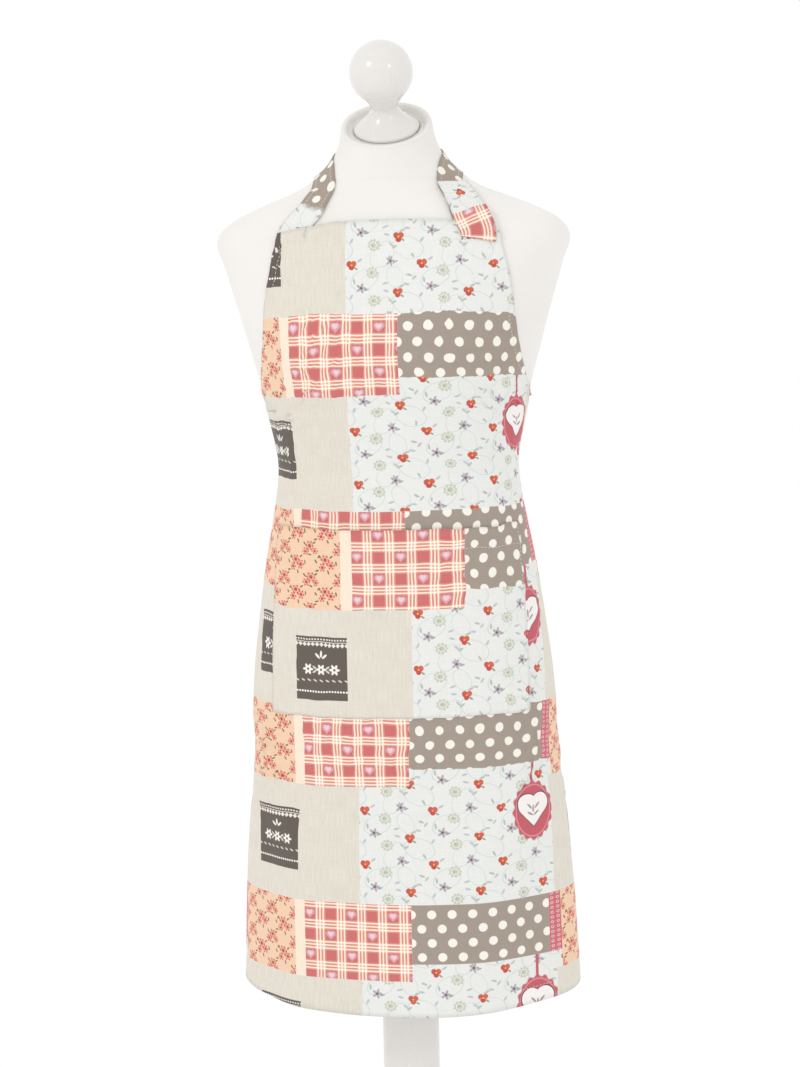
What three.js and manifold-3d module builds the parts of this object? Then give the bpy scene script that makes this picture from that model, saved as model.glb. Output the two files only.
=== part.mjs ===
// A display bust on a turned tripod stand, dressed in a printed cotton bib apron.
// Millimetres, +Z up. The front of the apron faces -Y. The origin is on the floor, under the
// middle of the stand's footprint. Inside the group, places are measured from the post's axis.

import * as THREE from "three";
import { mergeVertices } from "three/addons/utils/BufferGeometryUtils.js";
import Module from "manifold-3d";

const wasm = await Module();
wasm.setup();

// ---------------------------------------------------------------- driving dimensions

const GAP = 0.3; // left between pieces that touch
const DEGREE = Math.PI / 180;

// Stand
const LEG_REACH = 270; // post axis to the middle of a foot pad
const LEG_THICKNESS = 26;
const LEG_ROOT_LOW = 110; // heights of the leg's glued face on the hub
const LEG_ROOT_HIGH = 205;
const LEG_BOLT_RADIUS = 4;
const LEG_BOLT_LENGTH = 54;
const TOE_PAST_PAD = 5;
const PAD_RADIUS = 14;
const PAD_HEIGHT = 4;
const HUB_RADIUS = 40;
const HUB_FLAT = 36; // post axis to the flats that the legs sit on
const HUB_LOW = 70;
const HUB_HIGH = 240;
const SHAFT_RADIUS = 31.5;
const COLUMN_HEIGHT = 600;
const BORE_BOTTOM = 245;

// Steel post, its collar and lock
const POST_RADIUS = 14;
const POST_WALL = 2;
const POST_LOW = 330;
const POST_HIGH = 790;
const COLLAR_FLANGE = 4;
const COLLAR_RADIUS = 22;
const COLLAR_HEIGHT = 34;
const LOCK_SCREW_RADIUS = 4;
const LOCK_SCREW_LENGTH = 30;
const KNOB_RADIUS = 15;
const KNOB_LENGTH = 18;
const KNOB_GRIPS = 8;
const GRIP_RADIUS = 3;
const GRIP_OUTSIDE = 1.4; // knob's rim to the middle of a finger groove
const KNOB_CLEARANCE = 1.5; // collar to knob
const SCREW_RADIUS = 2;
const SCREW_HEAD_RADIUS = 3.5;
const SCREW_HEAD_HEIGHT = 2.5;
const SCREW_LENGTH = 18;
const COLLAR_SCREWS = 3;

// Bust
const BUST_BOTTOM = 725;
const SHELL_WALL = 4;
const JERSEY_THICKNESS = 1.2;
const BOARD_THICKNESS = 15;
const BOARD_RISE = 10; // bust's lower edge to the board's underside
const BOARD_GAP = 1.6;
const BOARD_SCREW_LENGTH = 22;
const SOCKET_WALL = 4;
const SOCKET_FLANGE_RADIUS = 40;
const SOCKET_FLANGE = 5;
const FLANGE_SCREWS = 4;
const BREAST_SPACING = 72; // middle of the chest to a breast's peak
const BREAST_HEIGHT = 1238;
const BREAST_RISE = 14;
const BREAST_SPREAD = 46;

// Neck and finial, along the neck's own tilted axis
const NECK_TILT = 30 * DEGREE;
const NECK_CUT_HEIGHT = 1458;
const NECK_CUT_FORWARD = 27;
const CAP_THICKNESS = 8;
const FINIAL_BASE_RADIUS = 34.5;
const FINIAL_LIP = 2.5;
const FINIAL_WAIST_RADIUS = 13.8;
const FINIAL_WAIST_HEIGHT = 25;
const BALL_RADIUS = 33;
const BALL_HEIGHT = 64;
const STUD_RADIUS = 4;
const STUD_ABOVE = 25;
const STUD_BELOW = 12;
const NUT_RADIUS = 7.5;
const NUT_HEIGHT = 6;

// Apron, in flat cloth sizes
const CLOTH = 1.6;
const CLOTH_STANDOFF = 6.8; // bust's surface to the cloth's inside
const APRON_HALF_WIDTH = 300;
const APRON_SHIFT = 6; // the apron sits this far off the bust's middle
const BIB_HALF_WIDTH = 114;
const BIB_TOP = 1356;
const BIB_RISE = 11; // how much higher the bib's edge is in the middle
const SIDE_CORNER = 1160;
const HEM = 537;
const HEM_DROP = 12; // how much lower the hem hangs in the middle
const POCKET_HALF_WIDTH = 143;
const POCKET_TOP = 1048;
const POCKET_HEIGHT = 196;
const POCKET_STANDOFF = 1.5;
const STRAP_WIDTH = 30;
const STRAP_STANDOFF = 6;
const TAB_WIDTH = 36;
const TAB_RISE = 33; // height that the tab climbs over the shoulder
const TIE_WIDTH = 22;
const TIE_DROP = 14; // side corner to the middle of the tie
const KNOT_WIDTH = 24;
const KNOT_DEPTH = 15;
const KNOT_HEIGHT = 28;
const BOW_LENGTH = 120;
const BOW_DEPTH = 9;
const BOW_STANDOFF = 9; // waist tie to the bow loops
const BOW_DROOP = 35 * DEGREE;
const TAIL_LENGTH = 300;
const TAIL_STANDOFF = 1.5; // apron's cloth to a tail
const TAIL_START = 0.16; // radians from the back's middle, at the knot
const TAIL_SPREAD = 0.12; // how much further round the tail ends

// Bust cross-sections: half width, depth in front of and behind the section's middle, how far
// forward that middle is, and how square the outline is (2 is an ellipse).
const BUST = [
  { z: 700, half: 138, front: 78, back: 86, lean: 0, square: 2.1 },
  { z: 775, half: 157, front: 90, back: 101, lean: 0, square: 2.1 },
  { z: 850, half: 163, front: 94, back: 108, lean: 0, square: 2.1 },
  { z: 985, half: 147, front: 90, back: 94, lean: 0, square: 2.1 },
  { z: 1103, half: 127, front: 85, back: 74, lean: 0, square: 2.1 },
  { z: 1160, half: 135, front: 93, back: 78, lean: 0, square: 2.2 },
  { z: 1240, half: 155, front: 104, back: 86, lean: 0, square: 2.4 },
  { z: 1325, half: 179, front: 97, back: 88, lean: 0, square: 2.8 },
  { z: 1352, half: 187, front: 91, back: 84, lean: 2, square: 2.7 },
  { z: 1370, half: 173, front: 84, back: 80, lean: 4, square: 2.4 },
  { z: 1387, half: 138, front: 77, back: 76, lean: 7, square: 2.1 },
  { z: 1403, half: 97, front: 68, back: 69, lean: 11, square: 2 },
  { z: 1420, half: 70, front: 60, back: 60, lean: 15, square: 2 },
  { z: 1440, half: 55, front: 52, back: 52, lean: 21, square: 2 },
  { z: 1465, half: 47, front: 47, back: 47, lean: 29, square: 2 },
  { z: 1510, half: 45, front: 46, back: 46, lean: 43, square: 2 },
];
const HIP_HEIGHT = 850;

// The surface that the hanging part of the apron follows below the hips
const SKIRT = [
  { z: 500, half: 180, front: 103, back: 112, lean: 0, square: 2.1 },
  { z: 682, half: 174, front: 99, back: 110, lean: 0, square: 2.1 },
];

// Half of the apron's flat width, down the armhole's curve
const ARMHOLE = [
  { z: BIB_TOP, width: BIB_HALF_WIDTH },
  { z: 1300, width: 129 },
  { z: 1240, width: 148 },
  { z: 1205, width: 170 },
  { z: 1185, width: 205 },
  { z: 1170, width: 260 },
  { z: SIDE_CORNER, width: APRON_HALF_WIDTH },
];

// Neck strap's left half, from the bib to the nape: angle round the bust and height
const STRAP_ROUTE = [
  { angle: -30, z: BIB_TOP + 13 },
  { angle: -34, z: 1385 },
  { angle: -46, z: 1406 },
  { angle: -72, z: 1424 },
  { angle: -108, z: 1434 },
  { angle: -145, z: 1436 },
  { angle: -180, z: 1434 },
];

const ROUND = 24; // faces round the bust
const POLE_Y = (LEG_REACH * (1 - Math.sin(30 * DEGREE))) / 2; // keeps the footprint centred
const LEG_ANGLES = { front: -90, right: 30, left: 150 };
const BOARD_LOW = BUST_BOTTOM + BOARD_RISE;
const TIE_HEIGHT = SIDE_CORNER - TIE_DROP;

// ---------------------------------------------------------------- finishes

const finish = (color, roughness, metalness = 0) => ({ color, roughness, metalness });
const WHITE_LACQUER = finish(0xe9e7e3, 0.25);
const STEEL = finish(0xb9bcbf, 0.3, 1);
const BLACK_PLASTIC = finish(0x2b2b2c, 0.5);
const RUBBER = finish(0x3a3a3a, 0.9);
const PLYWOOD = finish(0xcaa57a, 0.7);
const SHELL = finish(0xdcd8d0, 0.7);
const JERSEY = finish(0xf3f1ee, 0.95);
const PRINT = finish(0xe9e3d8, 0.9);
const PRINT_DARK = finish(0xa89b90, 0.9);

// ---------------------------------------------------------------- solids

function signedVolume(position, triangles) {
  const corner = (i) => new THREE.Vector3().fromBufferAttribute(position, triangles[i]);
  let total = 0;
  for (let i = 0; i < triangles.length; i += 3) {
    total += corner(i).dot(corner(i + 1).cross(corner(i + 2)));
  }
  return total / 6;
}

// Shared corners merged, slivers dropped and faces pointing out.
function closed(geometry) {
  const bare = geometry.clone();
  bare.deleteAttribute("normal");
  bare.deleteAttribute("uv");
  const merged = mergeVertices(bare, 1e-3);
  const triangles = [];
  for (let i = 0; i < merged.index.count; i += 3) {
    const face = [0, 1, 2].map((k) => merged.index.getX(i + k));
    if (new Set(face).size === 3) triangles.push(...face);
  }
  if (signedVolume(merged.attributes.position, triangles) < 0) triangles.reverse();
  merged.setIndex(triangles);
  return merged;
}

function toManifold(geometry) {
  return new wasm.Manifold(
    new wasm.Mesh({
      numProp: 3,
      vertProperties: new Float32Array(geometry.attributes.position.array),
      triVerts: new Uint32Array(geometry.index.array),
    })
  );
}

function fromManifold(solid) {
  const mesh = solid.getMesh();
  const geometry = new THREE.BufferGeometry();
  geometry.setAttribute("position", new THREE.BufferAttribute(mesh.vertProperties, 3));
  geometry.setIndex(new THREE.BufferAttribute(mesh.triVerts, 1));
  return geometry;
}

function cut(geometry, ...tools) {
  let solid = toManifold(geometry);
  for (const tool of tools) solid = solid.subtract(toManifold(tool));
  return fromManifold(solid);
}

function join(...pieces) {
  let solid = toManifold(pieces[0]);
  for (const piece of pieces.slice(1)) solid = solid.add(toManifold(piece));
  return fromManifold(solid);
}

// A turned solid about +Z. The profile is [radius, height] points.
function turned(profile, sides = 24) {
  const points = profile.map(([r, z]) => new THREE.Vector2(r, z));
  return closed(new THREE.LatheGeometry(points, sides).rotateX(Math.PI / 2));
}

function disc(radius, low, high, sides = 24) {
  return turned([[0, low], [radius, low], [radius, high], [0, high]], sides);
}

function ring(inner, outer, low, high, sides = 24) {
  return turned([[inner, low], [outer, low], [outer, high], [inner, high], [inner, low]], sides);
}

// A rod along +X.
function rod(radius, from, to, sides = 12) {
  return disc(radius, from, to, sides).rotateY(Math.PI / 2);
}

function box(width, depth, height) {
  return closed(new THREE.BoxGeometry(width, depth, height));
}

// A solid through a stack of closed outlines with the same number of points.
function loft(outlines) {
  const count = outlines[0].length;
  const points = outlines.flat();
  const triangles = [];
  for (let row = 0; row + 1 < outlines.length; row += 1) {
    for (let i = 0; i < count; i += 1) {
      const a = row * count + i;
      const b = row * count + ((i + 1) % count);
      triangles.push(a, b, b + count, a, b + count, a + count);
    }
  }
  const last = (outlines.length - 1) * count;
  for (let i = 1; i + 1 < count; i += 1) {
    triangles.push(0, i + 1, i, last, last + i, last + i + 1);
  }
  return closed(new THREE.BufferGeometry().setFromPoints(points).setIndex(triangles));
}

// A thin closed sheet between two grids of points, rows by columns.
function slab(outer, inner) {
  const rows = outer.length;
  const columns = outer[0].length;
  const points = [...outer.flat(), ...inner.flat()];
  const out = (row, column) => row * columns + column;
  const ins = (row, column) => rows * columns + row * columns + column;
  const triangles = [];
  const quad = (a, b, c, d) => triangles.push(a, b, c, a, c, d);
  for (let r = 0; r + 1 < rows; r += 1) {
    for (let c = 0; c + 1 < columns; c += 1) {
      quad(out(r, c), out(r, c + 1), out(r + 1, c + 1), out(r + 1, c));
      quad(ins(r, c), ins(r + 1, c), ins(r + 1, c + 1), ins(r, c + 1));
    }
    quad(out(r, 0), out(r + 1, 0), ins(r + 1, 0), ins(r, 0));
    const end = columns - 1;
    quad(out(r, end), ins(r, end), ins(r + 1, end), out(r + 1, end));
  }
  for (let c = 0; c + 1 < columns; c += 1) {
    quad(out(0, c), ins(0, c), ins(0, c + 1), out(0, c + 1));
    const end = rows - 1;
    quad(out(end, c), out(end, c + 1), ins(end, c + 1), ins(end, c));
  }
  return closed(new THREE.BufferGeometry().setFromPoints(points).setIndex(triangles));
}

// A flat band along a path of { at, out } steps, where out is square to the band.
function band(path, width, thickness) {
  const edge = (step, side, lift) => {
    const before = path[Math.max(step - 1, 0)].at;
    const after = path[Math.min(step + 1, path.length - 1)].at;
    const across = after.clone().sub(before).cross(path[step].out).normalize();
    return path[step].at
      .clone()
      .addScaledVector(across, (side * width) / 2)
      .addScaledVector(path[step].out, lift);
  };
  const face = (lift) => path.map((_, i) => [edge(i, -1, lift), edge(i, 1, lift)]);
  return slab(face(thickness), face(0));
}

// ---------------------------------------------------------------- bust's surface

// One value of a table at a height, on a smooth curve through the table's rows.
function valueAt(table, key, z) {
  const rows = [...table].sort((a, b) => a.z - b.z);
  const last = rows.length - 1;
  let i = rows.findIndex((row) => row.z > z) - 1;
  if (i < 0) i = z <= rows[0].z ? 0 : last - 1;
  const slope = (k) => {
    const low = rows[Math.max(k - 1, 0)];
    const high = rows[Math.min(k + 1, last)];
    return (high[key] - low[key]) / (high.z - low.z);
  };
  const [low, high] = [rows[i], rows[i + 1]];
  const span = high.z - low.z;
  const t = THREE.MathUtils.clamp((z - low.z) / span, 0, 1);
  const bend = t * t * (3 - 2 * t);
  const lift = span * (slope(i) * t * (1 - t) ** 2 - slope(i + 1) * t * t * (1 - t));
  return low[key] * (1 - bend) + high[key] * bend + lift;
}

// How far the breasts stand out. Cloth spans the hollow between them.
function breastRise(x, z, spanned) {
  const aside = Math.abs(x) - BREAST_SPACING;
  const dx = spanned ? Math.max(aside, 0) : aside;
  const dz = z - BREAST_HEIGHT;
  return BREAST_RISE * Math.exp(-(dx * dx + dz * dz) / (2 * BREAST_SPREAD ** 2));
}

// A point of the surface. Angle 0 is the front's middle and 90 the bust's +X side.
function surface(table, angle, z, spanned) {
  const at = (key) => valueAt(table, key, z);
  const power = (value) => Math.sign(value) * Math.abs(value) ** (2 / at("square"));
  const x = at("half") * power(Math.sin(angle));
  const forward = power(Math.cos(angle));
  const depth = forward > 0 ? at("front") : at("back");
  const rise = forward > 0 ? breastRise(x, z, spanned) * Math.sqrt(forward) : 0;
  return new THREE.Vector3(x, -at("lean") - forward * depth - rise, z);
}

function outward(table, angle, z, spanned) {
  const step = 0.02;
  const round = surface(table, angle + step, z, spanned)
    .sub(surface(table, angle - step, z, spanned));
  const up = surface(table, angle, z + 1, spanned).sub(surface(table, angle, z - 1, spanned));
  return round.cross(up).normalize();
}

function offSurface(table, angle, z, offset, spanned = false) {
  return surface(table, angle, z, spanned)
    .addScaledVector(outward(table, angle, z, spanned), offset);
}

// Heights of the outlines: closer together where the shape turns fast.
const BUST_LEVELS = BUST.flatMap((row, i) => {
  const next = BUST[i + 1];
  if (!next) return [row.z];
  return next.z - row.z > 90 ? [row.z, (row.z + next.z) / 2] : [row.z];
});

function bustSolid(offset) {
  const outline = (z) =>
    Array.from({ length: ROUND }, (_, i) =>
      offSurface(BUST, (i / ROUND) * 2 * Math.PI, z, offset)
    );
  return loft(BUST_LEVELS.map(outline));
}

// Moves a shape made about +Z to the neck's own tilted axis, with 0 at the neck's slanted cut.
function alongNeck(geometry) {
  return geometry.rotateX(NECK_TILT).translate(0, -NECK_CUT_FORWARD, NECK_CUT_HEIGHT);
}

// Everything above, or below, the neck's slanted cut raised by lift.
function aboveNeck(lift) {
  const size = 400;
  return alongNeck(box(size, size, size).translate(0, 0, lift + size / 2));
}

function belowNeck(lift) {
  const size = 3000;
  return alongNeck(box(size, size, size).translate(0, 0, lift - size / 2));
}

function belowBust() {
  const size = 600;
  return box(size, size, size).translate(0, 0, BUST_BOTTOM - size / 2);
}

// ---------------------------------------------------------------- model

const model = new THREE.Group();
const pole = new THREE.Group();
pole.position.y = POLE_Y;
model.add(pole);

function addPiece(parent, name, geometry, look) {
  const mesh = new THREE.Mesh(geometry, new THREE.MeshStandardMaterial(look));
  mesh.name = name;
  parent.add(mesh);
  return mesh;
}

// A countersunk or pan screw about +Z: its head's top is at 0 and the shank runs down.
function screwSolid(length, slack = 0) {
  const shank = SCREW_RADIUS + slack;
  const head = SCREW_HEAD_RADIUS + slack;
  const end = -length - slack;
  const top = slack;
  const profile = [[0, end], [shank, end], [shank, -SCREW_HEAD_HEIGHT], [head, top], [0, top]];
  return turned(profile, 12);
}

// ---------------------------------------------------------------- stand

function legBolts(slack) {
  const middle = (LEG_ROOT_LOW + LEG_ROOT_HIGH) / 2;
  const from = HUB_FLAT - LEG_BOLT_LENGTH / 2 - slack;
  return rod(LEG_BOLT_RADIUS + slack, from, from + LEG_BOLT_LENGTH + 2 * slack)
    .translate(0, 0, middle);
}

function collarScrewPlaces() {
  const radius = (COLLAR_RADIUS + SHAFT_RADIUS) / 2;
  return Array.from({ length: COLLAR_SCREWS }, (_, i) => {
    const turn = (i / COLLAR_SCREWS) * 2 * Math.PI - 30 * DEGREE;
    const top = COLUMN_HEIGHT + GAP + COLLAR_FLANGE;
    return [radius * Math.cos(turn), radius * Math.sin(turn), top];
  });
}

function columnSolid() {
  const bore = POST_RADIUS + GAP;
  const body = turned([
    [0, HUB_LOW - 12],
    [14, HUB_LOW - 10],
    [26, HUB_LOW],
    [HUB_RADIUS, HUB_LOW + 8],
    [HUB_RADIUS, HUB_HIGH - 6],
    [HUB_RADIUS - 5, HUB_HIGH],
    [SHAFT_RADIUS - 4, HUB_HIGH + 10],
    [SHAFT_RADIUS + 4, HUB_HIGH + 20],
    [SHAFT_RADIUS + 4, HUB_HIGH + 28],
    [SHAFT_RADIUS + 1, HUB_HIGH + 34],
    [SHAFT_RADIUS, COLUMN_HEIGHT - 3],
    [SHAFT_RADIUS - 2, COLUMN_HEIGHT],
    [bore, COLUMN_HEIGHT],
    [bore, BORE_BOTTOM],
    [0, BORE_BOTTOM],
  ], 32);
  const flats = Object.values(LEG_ANGLES).flatMap((angle) => {
    const height = LEG_ROOT_HIGH - LEG_ROOT_LOW + 2 * GAP;
    const slot = box(HUB_RADIUS, LEG_THICKNESS + 2 * GAP, height);
    slot.translate(HUB_FLAT + HUB_RADIUS / 2, 0, (LEG_ROOT_LOW + LEG_ROOT_HIGH) / 2);
    return [slot, legBolts(GAP)].map((tool) => tool.rotateZ(angle * DEGREE));
  });
  const screws = collarScrewPlaces().map((at) => screwSolid(SCREW_LENGTH, GAP).translate(...at));
  return cut(body, ...flats, ...screws);
}

function legOutline() {
  const root = HUB_FLAT + GAP;
  const ground = PAD_HEIGHT + GAP;
  const toe = LEG_REACH + TOE_PAST_PAD;
  const heel = LEG_REACH - PAD_RADIUS - 4;
  const shape = new THREE.Shape();
  const clear = HUB_RADIUS + 2;
  shape.moveTo(root, LEG_ROOT_LOW);
  shape.lineTo(clear, LEG_ROOT_LOW);
  shape.bezierCurveTo(clear + 56, LEG_ROOT_LOW - 8, heel - 60, ground + 24, heel, ground);
  shape.lineTo(toe, ground);
  shape.lineTo(toe, ground + 12);
  shape.bezierCurveTo(toe - 50, ground + 44, toe - 110, ground + 70, root + 84, LEG_ROOT_HIGH - 50);
  shape.bezierCurveTo(root + 62, LEG_ROOT_HIGH - 14, root + 34, LEG_ROOT_HIGH, root, LEG_ROOT_HIGH);
  return shape;
}

function legSolid() {
  const settings = { depth: LEG_THICKNESS, bevelEnabled: false, curveSegments: 9 };
  const blank = new THREE.ExtrudeGeometry(legOutline(), settings)
    .translate(0, 0, -LEG_THICKNESS / 2)
    .rotateX(Math.PI / 2);
  return cut(closed(blank), legBolts(GAP));
}

for (const [side, angle] of Object.entries(LEG_ANGLES)) {
  const spoke = new THREE.Group();
  spoke.rotation.z = angle * DEGREE;
  pole.add(spoke);
  addPiece(spoke, `leg_${side}`, legSolid(), WHITE_LACQUER);
  addPiece(spoke, `leg_bolt_${side}`, legBolts(0), STEEL);
  const pad = addPiece(spoke, `foot_pad_${side}`, disc(PAD_RADIUS, 0, PAD_HEIGHT), RUBBER);
  pad.position.x = LEG_REACH;
}
addPiece(pole, "column", columnSolid(), WHITE_LACQUER);

// ---------------------------------------------------------------- post, collar and lock

const LOCK_HEIGHT = COLUMN_HEIGHT + GAP + (COLLAR_FLANGE + COLLAR_HEIGHT) / 2;
const LOCK_TIP = POST_RADIUS + GAP;

function collarSolid() {
  const low = COLUMN_HEIGHT + GAP;
  const inner = POST_RADIUS + GAP;
  const edge = SHAFT_RADIUS - 2;
  const body = turned([
    [inner, low],
    [edge, low],
    [edge, low + COLLAR_FLANGE],
    [COLLAR_RADIUS, low + COLLAR_FLANGE],
    [COLLAR_RADIUS, low + COLLAR_HEIGHT - 2],
    [COLLAR_RADIUS - 2, low + COLLAR_HEIGHT],
    [inner, low + COLLAR_HEIGHT],
    [inner, low],
  ]);
  const tapping = rod(LOCK_SCREW_RADIUS + GAP, 0, SHAFT_RADIUS)
    .rotateZ(Math.PI / 2)
    .translate(0, 0, LOCK_HEIGHT);
  const screws = collarScrewPlaces().map((at) => screwSolid(SCREW_LENGTH, GAP).translate(...at));
  return cut(body, tapping, ...screws);
}

function knobSolid() {
  const start = COLLAR_RADIUS + KNOB_CLEARANCE;
  const blind = LOCK_TIP + LOCK_SCREW_LENGTH + GAP;
  const hub = LOCK_SCREW_RADIUS + 4;
  const body = turned([
    [0, start],
    [hub, start],
    [KNOB_RADIUS - 2, start + 5],
    [KNOB_RADIUS, start + 7],
    [KNOB_RADIUS, start + KNOB_LENGTH - 3],
    [KNOB_RADIUS - 4, start + KNOB_LENGTH],
    [0, start + KNOB_LENGTH],
  ]);
  const grips = Array.from({ length: KNOB_GRIPS }, (_, i) =>
    disc(GRIP_RADIUS, start - 1, start + KNOB_LENGTH + 1, 8)
      .translate(KNOB_RADIUS + GRIP_OUTSIDE, 0, 0)
      .rotateZ((i / KNOB_GRIPS) * 2 * Math.PI)
  );
  const screwHole = disc(LOCK_SCREW_RADIUS + GAP, 0, blind, 12);
  return cut(body, screwHole, ...grips);
}

function collarScrews() {
  collarScrewPlaces().forEach((at, i) => {
    addPiece(pole, `collar_screw_${i + 1}`, screwSolid(SCREW_LENGTH), STEEL).position.set(...at);
  });
}

// The lock works from behind: its axis points to +Y.
const lock = new THREE.Group();
lock.position.z = LOCK_HEIGHT;
lock.rotation.x = -Math.PI / 2;
pole.add(lock);
const lockScrew = disc(LOCK_SCREW_RADIUS, LOCK_TIP, LOCK_TIP + LOCK_SCREW_LENGTH, 12);
addPiece(lock, "lock_screw", lockScrew, STEEL);
addPiece(lock, "lock_knob", knobSolid(), BLACK_PLASTIC);
addPiece(pole, "post_collar", collarSolid(), STEEL);
addPiece(pole, "post_tube", ring(POST_RADIUS - POST_WALL, POST_RADIUS, POST_LOW, POST_HIGH), STEEL);
collarScrews();

// ---------------------------------------------------------------- bust

const FLANGE_LOW = BOARD_LOW - GAP - SOCKET_FLANGE;
const SOCKET_RADIUS = POST_RADIUS + GAP + SOCKET_WALL;

function flangeScrewPlaces() {
  const radius = (SOCKET_RADIUS + SOCKET_FLANGE_RADIUS) / 2;
  return Array.from({ length: FLANGE_SCREWS }, (_, i) => {
    const turn = ((i + 0.5) / FLANGE_SCREWS) * 2 * Math.PI;
    return [radius * Math.cos(turn), radius * Math.sin(turn), FLANGE_LOW];
  });
}

function flangeScrew(slack) {
  return screwSolid(SCREW_LENGTH - 4, slack).rotateX(Math.PI);
}

function socketSolid() {
  const inner = POST_RADIUS + GAP;
  const roof = POST_HIGH + GAP;
  const body = turned([
    [inner, FLANGE_LOW],
    [SOCKET_FLANGE_RADIUS, FLANGE_LOW],
    [SOCKET_FLANGE_RADIUS, FLANGE_LOW + SOCKET_FLANGE],
    [SOCKET_RADIUS, FLANGE_LOW + SOCKET_FLANGE],
    [SOCKET_RADIUS, roof + SOCKET_WALL],
    [0, roof + SOCKET_WALL],
    [0, roof],
    [inner, roof],
    [inner, FLANGE_LOW],
  ]);
  return cut(body, ...flangeScrewPlaces().map((at) => flangeScrew(GAP).translate(...at)));
}

// Where the board's screws go in: angle round the bust, and the turn of the screw's own axis.
const BOARD_SCREWS = { front_left: -45, front_right: 45, back_right: 135, back_left: -135 };

function boardScrewPlace(angle) {
  const z = BOARD_LOW + BOARD_THICKNESS / 2;
  const at = surface(BUST, angle * DEGREE, z, false);
  const turn = Math.atan2(at.y, at.x);
  const inset = SHELL_WALL / 2 + 1; // the head lies under the shell's skin
  at.x -= inset * Math.cos(turn);
  at.y -= inset * Math.sin(turn);
  return { at, turn };
}

function boardScrew(angle, slack) {
  const { at, turn } = boardScrewPlace(angle);
  return screwSolid(BOARD_SCREW_LENGTH, slack)
    .rotateY(Math.PI / 2)
    .rotateZ(turn)
    .translate(at.x, at.y, at.z);
}

// The screw's hole is open to the shell's outside.
function boardScrewHole(angle) {
  const { at, turn } = boardScrewPlace(angle);
  const mouth = disc(SCREW_HEAD_RADIUS + GAP, 0, SHELL_WALL, 12)
    .rotateY(Math.PI / 2)
    .rotateZ(turn)
    .translate(at.x, at.y, at.z);
  return join(boardScrew(angle, GAP), mouth);
}

function shellSolid() {
  const holes = Object.values(BOARD_SCREWS).map(boardScrewHole);
  return cut(bustSolid(0), bustInside(SHELL_WALL), belowBust(), aboveNeck(0), ...holes);
}

// The hollow: longer than the bust at both ends, so that it opens them.
function bustInside(wall) {
  const outline = (z) =>
    Array.from({ length: ROUND }, (_, i) =>
      offSurface(BUST, (i / ROUND) * 2 * Math.PI, z, -wall)
    );
  const levels = BUST_LEVELS.map(outline);
  const moved = (points, dz) => points.map((p) => p.clone().add(new THREE.Vector3(0, 0, dz)));
  return loft([moved(levels[0], -20), ...levels, moved(levels.at(-1), 20)]);
}

function jerseySolid() {
  return cut(
    bustSolid(GAP + JERSEY_THICKNESS),
    bustInside(-GAP),
    belowBust(),
    aboveNeck(CAP_THICKNESS)
  );
}

function boardSolid() {
  const outline = (z) =>
    Array.from({ length: ROUND }, (_, i) =>
      offSurface(BUST, (i / ROUND) * 2 * Math.PI, z, -SHELL_WALL - BOARD_GAP).setZ(z)
    );
  const blank = loft([outline(BOARD_LOW), outline(BOARD_LOW + BOARD_THICKNESS)]);
  const post = disc(SOCKET_RADIUS + GAP, BOARD_LOW - 1, BOARD_LOW + BOARD_THICKNESS + 1);
  const radial = Object.values(BOARD_SCREWS).map((angle) => boardScrew(angle, GAP));
  const upward = flangeScrewPlaces().map((at) => flangeScrew(GAP).translate(...at));
  return cut(blank, post, ...radial, ...upward);
}

addPiece(pole, "socket_flange", socketSolid(), STEEL);
flangeScrewPlaces().forEach((at, i) => {
  addPiece(pole, `flange_screw_${i + 1}`, flangeScrew(0), STEEL).position.set(...at);
});
addPiece(pole, "base_board", boardSolid(), PLYWOOD);
for (const [place, angle] of Object.entries(BOARD_SCREWS)) {
  addPiece(pole, `board_screw_${place}`, boardScrew(angle, 0), STEEL);
}
addPiece(pole, "torso_shell", shellSolid(), SHELL);
addPiece(pole, "jersey_cover", jerseySolid(), JERSEY);

// ---------------------------------------------------------------- neck and finial

// The cap closes the neck and has its outline.
function capSolid() {
  const hole = alongNeck(disc(STUD_RADIUS + GAP, -1, CAP_THICKNESS + 1, 12));
  return cut(bustSolid(0), belowNeck(GAP), aboveNeck(CAP_THICKNESS - GAP), hole);
}

// A hexagon nut whose flats clear the stud.
function nutSolid() {
  const flat = (STUD_RADIUS + GAP) / Math.cos(30 * DEGREE);
  return alongNeck(ring(flat, NUT_RADIUS, -NUT_HEIGHT, 0, 6));
}

function studSolid() {
  return alongNeck(disc(STUD_RADIUS, -STUD_BELOW, CAP_THICKNESS + STUD_ABOVE, 12));
}

function finialSolid() {
  const ball = (angle) => [
    BALL_RADIUS * Math.cos(angle * DEGREE),
    BALL_HEIGHT + BALL_RADIUS * Math.sin(angle * DEGREE),
  ];
  const body = turned([
    [0, 0],
    [FINIAL_BASE_RADIUS, 0],
    [FINIAL_BASE_RADIUS, FINIAL_LIP],
    [FINIAL_BASE_RADIUS - 3, FINIAL_LIP + 3],
    [FINIAL_WAIST_RADIUS + 7, FINIAL_WAIST_HEIGHT - 11],
    [FINIAL_WAIST_RADIUS + 1, FINIAL_WAIST_HEIGHT - 3],
    [FINIAL_WAIST_RADIUS, FINIAL_WAIST_HEIGHT],
    [FINIAL_WAIST_RADIUS + 1.5, FINIAL_WAIST_HEIGHT + 4],
    ...[-42, -28, -14, 0, 14, 28, 42, 56, 70].map(ball),
    [0, BALL_HEIGHT + BALL_RADIUS],
  ], 28);
  const hole = disc(STUD_RADIUS + GAP, -1, STUD_ABOVE + GAP, 12);
  return alongNeck(cut(body, hole).translate(0, 0, CAP_THICKNESS));
}

addPiece(pole, "neck_cap", capSolid(), PLYWOOD);
addPiece(pole, "finial", finialSolid(), WHITE_LACQUER);
addPiece(pole, "finial_stud", studSolid(), STEEL);
addPiece(pole, "finial_nut", nutSolid(), STEEL);

// ---------------------------------------------------------------- apron

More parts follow.
